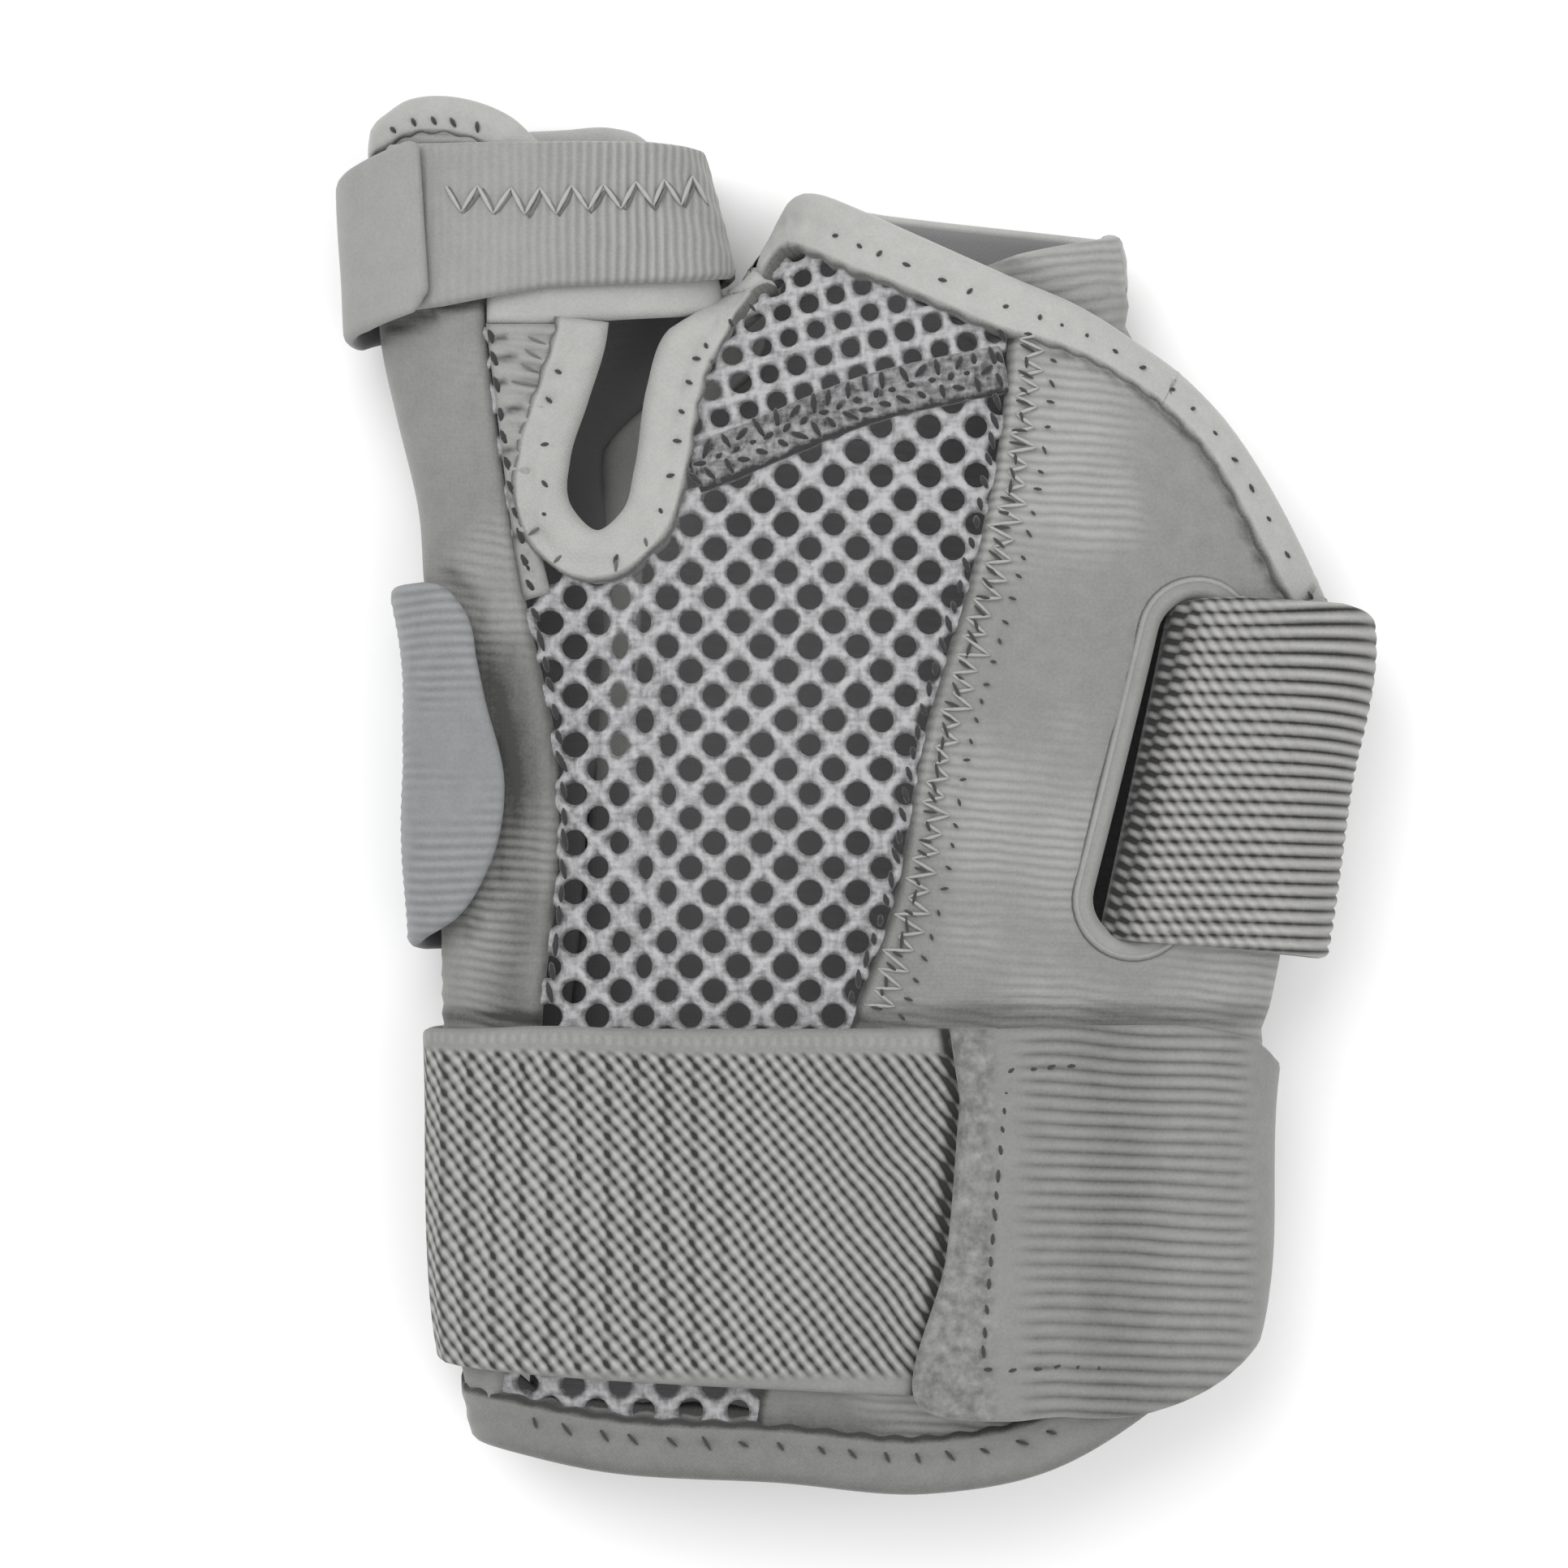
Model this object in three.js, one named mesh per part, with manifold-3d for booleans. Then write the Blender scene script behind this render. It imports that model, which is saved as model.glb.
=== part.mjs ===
import * as THREE from 'three';
import Module from 'manifold-3d';
import { mergeVertices } from 'three/addons/utils/BufferGeometryUtils.js';

// Thumb spica splint, closed by its three straps and lying on its back, palm side up.
// X runs across the hand, Y towards the fingers and Z up, out of the palm. All sizes are in mm.

const wasm = await Module();
wasm.setup();

// Body sizes
const wristWidth = 100; // across the closed wrist
const palmLength = 100; // wrist crease to the top of the finger opening
const palmDepth = 30; // back to front of the closed hand part
const thumbWidth = 40; // across the closed thumb sleeve
const thumbReach = 60; // web of the thumb to the top of the thumb sleeve
const thumbDepth = 24; // back to front of the thumb sleeve

// Cloth thicknesses and widths
const padding = 3; // padded panels
const netThickness = 1.8; // open net of the palm
const netDrop = 0.6; // net below the face of the panels beside it
const strapThickness = 1.8;
const tabThickness = 1.8; // hook tabs at the strap ends
const bindingWidth = 7.5; // tape folded over a free edge
const thumbBindingWidth = 4.8;
const bindingProud = 0.4; // tape beyond each face of the panel that it binds
const clearance = 0.3; // between pieces that touch

// Strap sizes
const wristStrapWidth = 43;
const palmStrapWidth = 43;
const thumbStrapWidth = 17.5;
const palmStrapSlack = 3.5; // standing off of the palm strap at each side of the hand

// Slot that the palm strap comes out of
const slotWidth = 9.2;
const slotLength = 42;
const rimWidth = 2.8;

// Net of the palm
const netPitch = 8.2; // hole to hole in a row
const holeWidth = 4.5;
const netMargin = 3.4; // hole centre to the nearest seam

// Heights
const strapSeat = bindingProud + clearance;
const strapTop = strapSeat + strapThickness;
const tabSeat = strapTop + clearance;
const tabTop = tabSeat + tabThickness;
const splitHeight = strapTop + 0.25 * palmDepth; // where front panels meet back panels at the sides
const farOut = 3 * wristWidth;

// Cross-sections of the hand part, from below the wrist hem to above the finger opening.
// along is a share of palmLength, left and right of wristWidth, depth of palmDepth.
const handTable = [
  { along: -0.94, left: -0.455, right: 0.37, depth: 0.84 },
  { along: -0.8, left: -0.466, right: 0.425, depth: 0.9 },
  { along: -0.68, left: -0.49, right: 0.468, depth: 0.98 },
  { along: -0.31, left: -0.508, right: 0.5, depth: 0.96 },
  { along: -0.18, left: -0.51, right: 0.524, depth: 1.02 },
  { along: 0.02, left: -0.516, right: 0.55, depth: 1.06 },
  { along: 0.2, left: -0.49, right: 0.578, depth: 1 },
  { along: 0.31, left: -0.4, right: 0.552, depth: 0.94 },
  { along: 0.4, left: -0.31, right: 0.508, depth: 0.86 },
  { along: 0.49, left: -0.245, right: 0.44, depth: 0.78 },
  { along: 0.58, left: -0.185, right: 0.345, depth: 0.73 },
  { along: 0.67, left: -0.108, right: 0.33, depth: 0.68 },
  { along: 0.82, left: -0.06, right: 0.325, depth: 0.68 },
];

// Cross-sections of the thumb sleeve. along is a share of thumbReach, left and right of thumbWidth.
const thumbTable = [
  { along: -0.4, left: -0.02, right: 0.3, depth: 0.9 },
  { along: -0.08, left: -0.34, right: 0.42, depth: 1 },
  { along: 0.18, left: -0.39, right: 0.54, depth: 1.02 },
  { along: 0.36, left: -0.455, right: 0.59, depth: 1 },
  { along: 0.5, left: -0.5, right: 0.58, depth: 0.98 },
  { along: 0.65, left: -0.515, right: 0.53, depth: 0.95 },
  { along: 0.86, left: -0.53, right: 0.45, depth: 0.92 },
  { along: 1.1, left: -0.535, right: 0.38, depth: 0.9 },
];
const thumbRoot = { across: -0.385 * wristWidth, along: 0.25 * palmLength };

// Long hollow of the front between the thumb side and the net
const hollow = { across: -0.37, from: -0.3, to: 0.34, width: 0.07, depth: 0.075 };

const ringPoints = 24;
const frontPower = 2.5;
const backPower = 3.4;
const flatShare = 0.9; // height of the flattened back, as a share of half the depth

function palm(across, along) {
  return new THREE.Vector2(across * wristWidth, along * palmLength);
}

function thumb(across, along) {
  return new THREE.Vector2(thumbRoot.across + across * thumbWidth, thumbRoot.along + along * thumbReach);
}

function curve(place, rows, steps) {
  return new THREE.SplineCurve(rows.map(([across, along]) => place(across, along))).getPoints(steps);
}

function line(place, rows) {
  return rows.map(([across, along]) => place(across, along));
}

// Edges and seams as rows of [across, along], shares of the hand part or of the thumb sleeve
const fingerEdge = curve(palm, [
  [-0.14, 0.772], [-0.07, 0.745], [0.08, 0.682], [0.19, 0.634], [0.31, 0.582], [0.445, 0.471], [0.54, 0.318],
  [0.579, 0.222], [0.62, 0.08],
], 12);
const dorsalTopEdge = line(palm, [[-0.14, 0.76], [-0.05, 0.745], [0.04, 0.722], [0.29, 0.694], [0.42, 0.684]]);
const hemEdge = curve(palm, [
  [-0.62, -0.785], [-0.465, -0.8], [-0.3, -0.828], [-0.1, -0.838], [0.09, -0.852], [0.25, -0.82],
  [0.375, -0.744], [0.46, -0.66], [0.6, -0.5],
], 12);
const webEdge = curve(palm, [
  [-0.297, 0.61], [-0.301, 0.568], [-0.327, 0.478], [-0.349, 0.408], [-0.349, 0.349], [-0.32, 0.322],
  [-0.285, 0.349], [-0.271, 0.396], [-0.254, 0.495], [-0.231, 0.562], [-0.2, 0.593], [-0.12, 0.65],
], 18);
const gutterEdge = curve(palm, [
  [-0.456, 0.571], [-0.431, 0.38], [-0.403, 0.231], [-0.369, 0.043], [-0.365, -0.041], [-0.386, -0.268],
  [-0.433, -0.713], [-0.45, -0.95],
], 12);
const netEdge = curve(palm, [
  [0.2, 0.66], [0.178, 0.47], [0.153, 0.329], [0.079, 0.065], [0.039, -0.144], [-0.006, -0.268],
  [-0.116, -0.722], [-0.15, -0.95],
], 12);
const ruffleSeam = line(palm, [[-0.27, 0.37], [-0.172, 0.407], [0.02, 0.484], [0.182, 0.52]]);
const backSeam = line(palm, [
  [-0.14, 1.2], [-0.14, 0.72], [-0.146, 0.635], [-0.16, 0.58], [-0.254, 0.495], [-0.315, 0.427],
  [-0.317, 0.38], [-0.33, 0], [-0.36, -0.3], [-0.42, -1],
]);
const dorsalWebEdge = backSeam.slice(1, 8);
const frontTongueEdge = curve(thumb, [
  [-0.75, 0.82], [-0.56, 0.9], [-0.5, 0.975], [-0.42, 1.002], [-0.33, 1.007], [-0.22, 0.996], [-0.1, 0.965],
  [0.02, 0.9],
], 14);
const backTongueEdge = curve(thumb, [
  [-0.75, 0.82], [-0.56, 0.9], [-0.45, 0.965], [-0.2, 0.955], [0.05, 0.965], [0.2, 0.968], [0.32, 0.945],
  [0.4, 0.91], [0.65, 0.8],
], 14);

// Point of a section's outline at a turn around it, moved out from the body by offset
function ringPoint(section, turn, offset) {
  const power = Math.sin(turn) < 0 ? backPower : frontPower;
  const sideways = Math.sign(Math.cos(turn)) * Math.abs(Math.cos(turn)) ** (2 / power);
  const upwards = Math.sign(Math.sin(turn)) * Math.abs(Math.sin(turn)) ** (2 / power);
  const halfWidth = (section.right - section.left) / 2;
  const halfDepth = section.depth / 2;
  const middle = (section.left + section.right) / 2;
  const flat = -flatShare * halfDepth - offset;
  const dip = upwards > 0 ? hollowDepth(middle + halfWidth * sideways, section.along) : 0;
  return new THREE.Vector3(
    middle + (halfWidth + offset) * sideways,
    section.along,
    strapTop + flatShare * halfDepth + Math.max(flat, (halfDepth + offset) * upwards) - dip,
  );
}

// Depth of the long hollow, a bell across it that fades out towards its two ends
function hollowDepth(x, y) {
  const across = (x / wristWidth - hollow.across) / hollow.width;
  const middle = (hollow.from + hollow.to) / 2;
  const half = (hollow.to - hollow.from) / 2;
  const along = (y / palmLength - middle) / half;
  const fade = Math.max(0, 1 - along ** 4);
  return hollow.depth * palmDepth * fade * Math.exp(-across * across);
}

const handSections = handTable.map((row) => ({
  along: row.along * palmLength,
  left: row.left * wristWidth,
  right: row.right * wristWidth,
  depth: row.depth * palmDepth,
}));
const thumbSections = thumbTable.map((row) => ({
  along: thumbRoot.along + row.along * thumbReach,
  left: thumbRoot.across + row.left * thumbWidth,
  right: thumbRoot.across + row.right * thumbWidth,
  depth: row.depth * thumbDepth,
}));
const thumbSide = Math.min(...thumbSections.slice(0, 2).map((section) => section.left));
const looseSections = handSections.map((section) => ({
  ...section,
  left: Math.min(section.left, thumbSide) - palmStrapSlack / 2,
  right: section.right + palmStrapSlack,
}));

function solidOf(geometry) {
  geometry.deleteAttribute('normal');
  geometry.deleteAttribute('uv');
  const merged = mergeVertices(geometry, 1e-4);
  const mesh = new wasm.Mesh({
    numProp: 3,
    vertProperties: new Float32Array(merged.attributes.position.array),
    triVerts: new Uint32Array(merged.index.array),
  });
  return new wasm.Manifold(mesh);
}

// Closed loft through the sections, each moved out by offset, with its ends moved out by reach
function loft(sections, offset, reach) {
  const rings = sections.map((section, index) => {
    const last = sections.length - 1;
    const shift = index === 0 ? -reach : index === last ? reach : 0;
    return Array.from({ length: ringPoints }, (_, step) => {
      const point = ringPoint(section, (step / ringPoints) * 2 * Math.PI, offset);
      point.y += shift;
      return point;
    });
  });
  const points = rings.flat();
  const faces = [];
  for (let ring = 0; ring + 1 < rings.length; ring += 1) {
    for (let step = 0; step < ringPoints; step += 1) {
      const near = ring * ringPoints + step;
      const next = ring * ringPoints + ((step + 1) % ringPoints);
      faces.push(near, near + ringPoints, next, next, near + ringPoints, next + ringPoints);
    }
  }
  const top = (rings.length - 1) * ringPoints;
  for (let step = 1; step + 1 < ringPoints; step += 1) {
    faces.push(0, step, step + 1, top, top + step + 1, top + step);
  }
  const geometry = new THREE.BufferGeometry().setFromPoints(points);
  geometry.setIndex(faces);
  return solidOf(geometry);
}

// Wall of the whole body between two offsets from its outer face
function wall(low, high, sections = handSections) {
  const outer = loft(sections, high, 0).add(loft(thumbSections, high, 0));
  const inner = loft(sections, low, padding).add(loft(thumbSections, low, padding));
  return outer.subtract(inner);
}

function sleeveWall(sections, low, high) {
  return loft(sections, high, 0).subtract(loft(sections, low, padding));
}

// Upright prism of an outline, between two heights
function prism(outline, low = -farOut, high = farOut) {
  const geometry = new THREE.ExtrudeGeometry(new THREE.Shape(outline), {
    depth: high - low,
    bevelEnabled: false,
  });
  geometry.translate(0, 0, low);
  return solidOf(geometry);
}

// Line moved to its left by distance, without the points that would fold back on it
function moved(points, distance) {
  const shifted = points.map((point, index) => {
    const before = points[Math.max(index - 1, 0)];
    const after = points[Math.min(index + 1, points.length - 1)];
    const way = after.clone().sub(before).normalize();
    return new THREE.Vector2(point.x - way.y * distance, point.y + way.x * distance);
  });
  return shifted.filter((point) => distanceTo(point, points) >= 0.97 * Math.abs(distance));
}

function distanceTo(point, points) {
  let nearest = Infinity;
  for (let index = 0; index + 1 < points.length; index += 1) {
    const start = points[index];
    const span = points[index + 1].clone().sub(start);
    const share = THREE.MathUtils.clamp(point.clone().sub(start).dot(span) / span.lengthSq(), 0, 1);
    nearest = Math.min(nearest, point.distanceTo(start.clone().addScaledVector(span, share)));
  }
  return nearest;
}

// Band between two lines moved to the left of an edge
function band(points, from, to, low, high) {
  return prism([...moved(points, from), ...moved(points, to).reverse()], low, high);
}

function seam(points) {
  return band(points, -clearance / 2, clearance / 2);
}

function front(outline) {
  return prism(outline, splitHeight + clearance / 2, farOut);
}

function back(outline) {
  return prism(outline, -farOut, splitHeight - clearance / 2);
}

// Largest body of a cut piece, without crumbs beyond the cut
function whole(solid) {
  const bodies = solid.decompose();
  return bodies.reduce((largest, body) => (body.volume() > largest.volume() ? body : largest));
}

const panelWall = wall(-padding, 0);
const netWall = wall(-netDrop - netThickness, -netDrop);
const bindingWall = wall(-padding - bindingProud, bindingProud);

// What lies beyond a free edge, with the room of its binding; the edges run with the body on one side
const sideways = farOut / 2;
const beyondFinger = prism([
  ...moved(fingerEdge, -bindingWidth - clearance),
  new THREE.Vector2(sideways, 0),
  new THREE.Vector2(sideways, sideways),
  new THREE.Vector2(-0.14 * wristWidth, sideways),
]);
const beyondDorsalTop = prism([
  ...moved(dorsalTopEdge, -bindingWidth - clearance),
  new THREE.Vector2(sideways, 0.6 * palmLength),
  new THREE.Vector2(sideways, sideways),
  new THREE.Vector2(-0.14 * wristWidth, sideways),
]);
const beyondHem = prism([
  ...moved(hemEdge, bindingWidth + clearance),
  new THREE.Vector2(sideways, -sideways),
  new THREE.Vector2(-sideways, -sideways),
]);
const webRoom = prism([
  ...moved(webEdge, -bindingWidth * 0.87 - clearance),
  palm(-0.12, 0.9),
  palm(-0.38, 0.9),
]);
const seams = seam(gutterEdge).add(seam(netEdge)).add(seam(ruffleSeam));

function beyondTongue(edge) {
  const last = edge[edge.length - 1];
  return prism([
    ...moved(edge, -thumbBindingWidth - clearance),
    new THREE.Vector2(-0.1 * wristWidth, last.y),
    new THREE.Vector2(-0.1 * wristWidth, sideways),
    new THREE.Vector2(-sideways, sideways),
  ]);
}

// Band of the thumb sleeve under the thumb strap
const bandLeft = -0.456;
const bandRight = -0.25;
const bandLow = 0.571;
const bandHigh = 0.74;
const bandOutline = line(palm, [
  [bandLeft, bandLow], [bandRight, bandLow], [bandRight, bandHigh], [bandLeft, bandHigh],
]);
const bandRoom = prism(line(palm, [
  [bandLeft - 0.003, bandLow - 0.003], [0, bandLow - 0.003], [0, bandHigh + 0.003], [bandLeft - 0.003, bandHigh + 0.003],
]));

function radialGutter() {
  const frontRegion = prism([
    ...gutterEdge,
    ...line(palm, [[-0.9, -0.95], [-0.9, 1.2], [0, 1.2], [0, bandHigh], [bandLeft, bandHigh]]),
  ], splitHeight, farOut);
  const backRegion = prism([
    ...backSeam,
    ...line(palm, [[-0.9, -1], [-0.9, 1.2]]),
  ], -farOut, splitHeight);
  const frontPart = panelWall.intersect(frontRegion).subtract(beyondTongue(frontTongueEdge)).subtract(bandRoom);
  const backPart = panelWall.intersect(backRegion).subtract(beyondTongue(backTongueEdge)).subtract(seam(backSeam));
  return whole(frontPart.subtract(seams).add(backPart).subtract(beyondHem));
}

function thumbBand() {
  return whole(panelWall.intersect(front(bandOutline)));
}

function thumbBinding() {
  const frontPart = band(frontTongueEdge, -thumbBindingWidth, 0, splitHeight, farOut);
  const backPart = band(backTongueEdge, -thumbBindingWidth, 0, -farOut, splitHeight);
  return whole(bindingWall.intersect(frontPart.add(backPart)));
}

const netOutline = [
  ...gutterEdge,
  ...[...netEdge].reverse().slice(0, -2),
  ...[...ruffleSeam].reverse(),
  palm(-0.27, 0.571),
];
const fingerNetOutline = [...ruffleSeam, ...line(palm, [[0.2, 0.66], [0.1, 0.9], [-0.3, 0.9], [-0.3, 0.4]])];

function inside(point, outline) {
  let crossed = false;
  outline.forEach((corner, index) => {
    const other = outline[(index + 1) % outline.length];
    const between = corner.y > point.y !== other.y > point.y;
    const reach = corner.x + ((point.y - corner.y) * (other.x - corner.x)) / (other.y - corner.y);
    if (between && point.x < reach) crossed = !crossed;
  });
  return crossed;
}

// Staggered rows of six-sided holes, kept clear of the outline and of the lines beside it
function holes(outline, lines) {
  const cutters = [];
  const rowStep = netPitch / 2;
  const hole = Array.from({ length: 6 }, (_, corner) => {
    const turn = ((corner + 0.5) / 6) * 2 * Math.PI;
    return new THREE.Vector2(Math.cos(turn), Math.sin(turn)).multiplyScalar(holeWidth / 2);
  });
  const low = -0.72 * palmLength;
  const rows = Math.ceil(palmLength * 1.5 / rowStep);
  for (let row = 0; row < rows; row += 1) {
    const stagger = row % 2 ? netPitch / 2 : 0;
    for (let x = -0.5 * wristWidth + stagger; x < 0.3 * wristWidth; x += netPitch) {
      const centre = new THREE.Vector2(x, low + row * rowStep);
      const clear = lines.every((edge) => distanceTo(centre, edge) > netMargin);
      if (clear && inside(centre, outline)) cutters.push(hole.map((corner) => corner.clone().add(centre)));
    }
  }
  return cutters.map((outlineOfHole) => prism(outlineOfHole)).reduce((all, cutter) => all.add(cutter));
}

const strapCover = line(palm, [[-0.9, -0.268], [0.6, -0.268]]);

function palmNet() {
  const piece = netWall.intersect(front(netOutline)).subtract(seams).subtract(webRoom).subtract(beyondHem)
    .subtract(bandRoom);
  const webRim = moved(webEdge, -bindingWidth * 0.87);
  const visible = holes(netOutline.filter((point) => point.y > strapCover[0].y), [
    gutterEdge, netEdge, ruffleSeam, webRim, strapCover,
  ]);
  return whole(piece.subtract(visible));
}

function fingerNet() {
  const piece = netWall.intersect(front(fingerNetOutline)).subtract(seams).subtract(webRoom).subtract(beyondFinger);
  const webRim = moved(webEdge, -bindingWidth * 0.87);
  const fingerRim = moved(fingerEdge, -bindingWidth);
  const foldLine = line(palm, [[-0.185, 0.58], [-0.108, 0.67], [-0.08, 0.74]]);
  return whole(piece.subtract(holes(fingerNetOutline, [ruffleSeam, netEdge, webRim, fingerRim, foldLine])));
}

const slotTop = palm(0.411, 0.19);
const slotWay = palm(0.331, -0.132).sub(slotTop).normalize();

// Strap's fold in the slot, left of the slot's middle line
const foldLeft = clearance * 9 - slotWidth / 2;

// Point beside the slot's middle line, from its upper end
function slotPoint(down, right) {
  const side = new THREE.Vector2(-slotWay.y, slotWay.x);
  return slotTop.clone().addScaledVector(slotWay, down).addScaledVector(side, right);
}

// Outline with two round ends about the slot's middle line, margin outside the slot's own edge
function slotOutline(margin) {
  const radius = slotWidth / 2 + margin;
  const span = slotLength - slotWidth;
  const turn = Math.atan2(slotWay.y, slotWay.x);
  const shape = new THREE.Shape();
  const end = slotTop.clone().addScaledVector(slotWay, span);
  shape.absarc(end.x, end.y, radius, turn - Math.PI / 2, turn + Math.PI / 2, false);
  shape.absarc(slotTop.x, slotTop.y, radius, turn + Math.PI / 2, turn + 1.5 * Math.PI, false);
  return shape.getPoints(6).slice(0, -1);
}

function palmPanel() {
  const outline = [...netEdge, ...line(palm, [[0, -1], [0.9, -1], [0.9, 0.66]])];
  return whole(panelWall.intersect(front(outline)).subtract(seams).subtract(beyondFinger).subtract(beyondHem)
    .subtract(prism(slotOutline(rimWidth + clearance), splitHeight)));
}

function slotRim() {
  return whole(bindingWall.intersect(prism(slotOutline(rimWidth), splitHeight)
    .subtract(prism(slotOutline(0), splitHeight - 1))));
}

function webBinding() {
  const strip = band(webEdge, -bindingWidth * 0.87, 0, splitHeight + clearance / 2, farOut);
  return whole(bindingWall.intersect(strip).subtract(bandRoom).subtract(beyondFinger));
}

function fingerBinding() {
  return whole(bindingWall.intersect(band(fingerEdge, -bindingWidth, 0, splitHeight + clearance / 2, farOut)));
}

const flapTop = line(palm, [[0.135, 0.662], [0.196, 0.672], [0.285, 0.691], [0.4, 0.7]]);
const flapRegion = [...flapTop, ...line(palm, [[0.62, 0.4], [0.2, 0.4]])];
const flapLayer = padding + bindingProud + clearance;
const flapFloor = strapTop + flapLayer + padding; // above the back's inner face

// Back of the hand, whose ulnar side folds forward and goes in under the front
function dorsalPanel() {
  const region = back([...backSeam, ...line(palm, [[0.9, -1], [0.9, 1.2]])]);
  const bound = band(dorsalWebEdge, 0, bindingWidth * 0.8 + clearance);
  const backPart = panelWall.intersect(region).subtract(beyondDorsalTop).subtract(beyondHem)
    .subtract(seam(backSeam)).subtract(bound);
  const openEdge = prism([
    ...moved(fingerEdge, clearance),
    new THREE.Vector2(sideways, 0),
    new THREE.Vector2(sideways, sideways),
    new THREE.Vector2(-0.14 * wristWidth, sideways),
  ]);
  const flapPrism = prism(flapRegion, flapFloor, farOut);
  const open = panelWall.intersect(flapPrism.intersect(openEdge));
  const under = wall(-flapLayer - padding, -flapLayer).intersect(flapPrism);
  const step = wall(-flapLayer - padding, 0).intersect(band(fingerEdge, clearance, padding))
    .intersect(flapPrism);
  const lowEdge = wall(-flapLayer - padding, 0)
    .intersect(prism(flapRegion, flapFloor, splitHeight - clearance / 2));
  return whole(backPart.add(open).add(under).add(step).add(lowEdge));
}

function dorsalWebBinding() {
  const strip = band(dorsalWebEdge, clearance / 2, bindingWidth * 0.8, -farOut, splitHeight - clearance / 2);
  return whole(bindingWall.intersect(strip).subtract(beyondDorsalTop));
}

function dorsalFingerBinding() {
  const strip = band(dorsalTopEdge, -bindingWidth, 0, -farOut, splitHeight - clearance / 2);
  return whole(bindingWall.intersect(strip).subtract(prism(flapRegion, flapFloor - clearance)));
}

function wristBinding() {
  return whole(bindingWall.intersect(band(hemEdge, 0, bindingWidth)));
}

// Straps: each lies on the body at strapSeat, and its hook tab laps over its other end
const wristTop = -0.28;
const wristLow = wristTop - wristStrapWidth / palmLength;

function wristStrap() {
  const layer = sleeveWall(handSections, strapSeat, strapTop);
  const onFront = prism(line(palm, [
    [-0.9, wristTop], [0.17, wristTop], [0.17, wristLow - 0.012], [0, wristLow - 0.008], [-0.9, wristLow + 0.006],
  ]), splitHeight - clearance, farOut);
  const onBack = prism(line(palm, [
    [-0.9, wristTop], [0.3, wristTop], [0.3, wristLow], [-0.9, wristLow + 0.006],
  ]), -farOut, splitHeight);
  return whole(layer.intersect(onFront.add(onBack)));
}

function wristStrapTab() {
  const outline = curve(palm, [
    [0.109, -0.277], [0.29, -0.277], [0.42, -0.283], [0.48, -0.302], [0.506, -0.348], [0.508, -0.5],
    [0.492, -0.634], [0.437, -0.706], [0.35, -0.746], [0.22, -0.748], [0.071, -0.727],
  ], 22).concat(line(palm, [[0.104, -0.559], [0.121, -0.369]]));
  const lapEnd = 0.19 * wristWidth;
  const step = 2 * strapThickness;
  const shape = prism(outline, splitHeight + clearance, farOut);
  const upper = new THREE.BoxGeometry(farOut, farOut, farOut).translate(lapEnd + step - farOut / 2, 0, 0);
  const lower = new THREE.BoxGeometry(farOut, farOut, farOut).translate(lapEnd + farOut / 2, 0, 0);
  const high = sleeveWall(handSections, tabSeat, tabTop).intersect(solidOf(upper));
  const low = sleeveWall(handSections, strapSeat, strapTop).intersect(solidOf(lower));
  const between = sleeveWall(handSections, strapSeat, tabTop).intersect(solidOf(upper)).intersect(solidOf(lower));
  return whole(high.add(low).add(between).intersect(shape));
}

const palmTop = 0.236;
const palmLow = palmTop - palmStrapWidth / palmLength;

function palmStrap() {
  const layer = wall(strapSeat, strapTop, looseSections);
  const above = slotPoint(-slotWidth / 3, foldLeft);
  const below = slotPoint(slotLength - slotWidth + slotWidth / 3, foldLeft);
  const onFront = prism([
    above,
    ...line(palm, [[0.5, palmTop], [0.62, palmTop - 0.03], [0.9, palmTop - 0.05], [0.9, palmLow], [0.5, palmLow]]),
    below,
  ], splitHeight - clearance, farOut);
  const onBack = prism(line(palm, [
    [-0.42, palmTop], [0.9, palmTop - 0.05], [0.9, palmLow], [-0.42, palmLow],
  ]), -farOut, splitHeight);
  const fold = prism([
    above,
    slotPoint(-slotWidth / 3, foldLeft + strapThickness),
    slotPoint(slotLength - slotWidth + slotWidth / 3, foldLeft + strapThickness),
    below,
  ], splitHeight + palmDepth / 3, farOut);
  const dive = fold.intersect(loft(looseSections, strapTop, 0));
  return whole(layer.intersect(onFront.add(onBack)).add(dive));
}

function palmStrapTab() {
  const layer = wall(strapSeat, strapTop, looseSections);
  const half = curve(palm, [
    [-0.54, 0.258], [-0.5, 0.262], [-0.474, 0.23], [-0.445, 0.102], [-0.426, 0.01], [-0.442, -0.085],
    [-0.48, -0.155], [-0.53, -0.194],
  ], 14);
  const onFront = prism([...half, ...line(palm, [[-0.9, -0.194], [-0.9, 0.24]])], splitHeight - clearance, farOut);
  const onBack = prism(line(palm, [
    [-0.423, palmTop], [-0.423, palmLow], [-0.9, palmLow], [-0.9, palmTop + 0.004],
  ]), -farOut, splitHeight);
  return whole(layer.intersect(onFront.add(onBack)));
}

const thumbStrapTop = 0.905;
const thumbStrapLow = thumbStrapTop - thumbStrapWidth / thumbReach;

function thumbStrap() {
  const layer = sleeveWall(thumbSections, strapSeat, strapTop);
  const onFront = prism(line(thumb, [
    [-0.46, thumbStrapTop], [0.9, thumbStrapTop], [0.9, thumbStrapLow + 0.04], [0, thumbStrapLow],
    [-0.46, thumbStrapLow - 0.03],
  ]), splitHeight - clearance, farOut);
  const onBack = prism(line(thumb, [
    [-0.3, thumbStrapTop - 0.06], [0.9, thumbStrapTop], [0.9, thumbStrapLow + 0.06], [-0.3, thumbStrapLow - 0.06],
  ]), -farOut, splitHeight);
  return whole(layer.intersect(onFront.add(onBack)));
}

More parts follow.
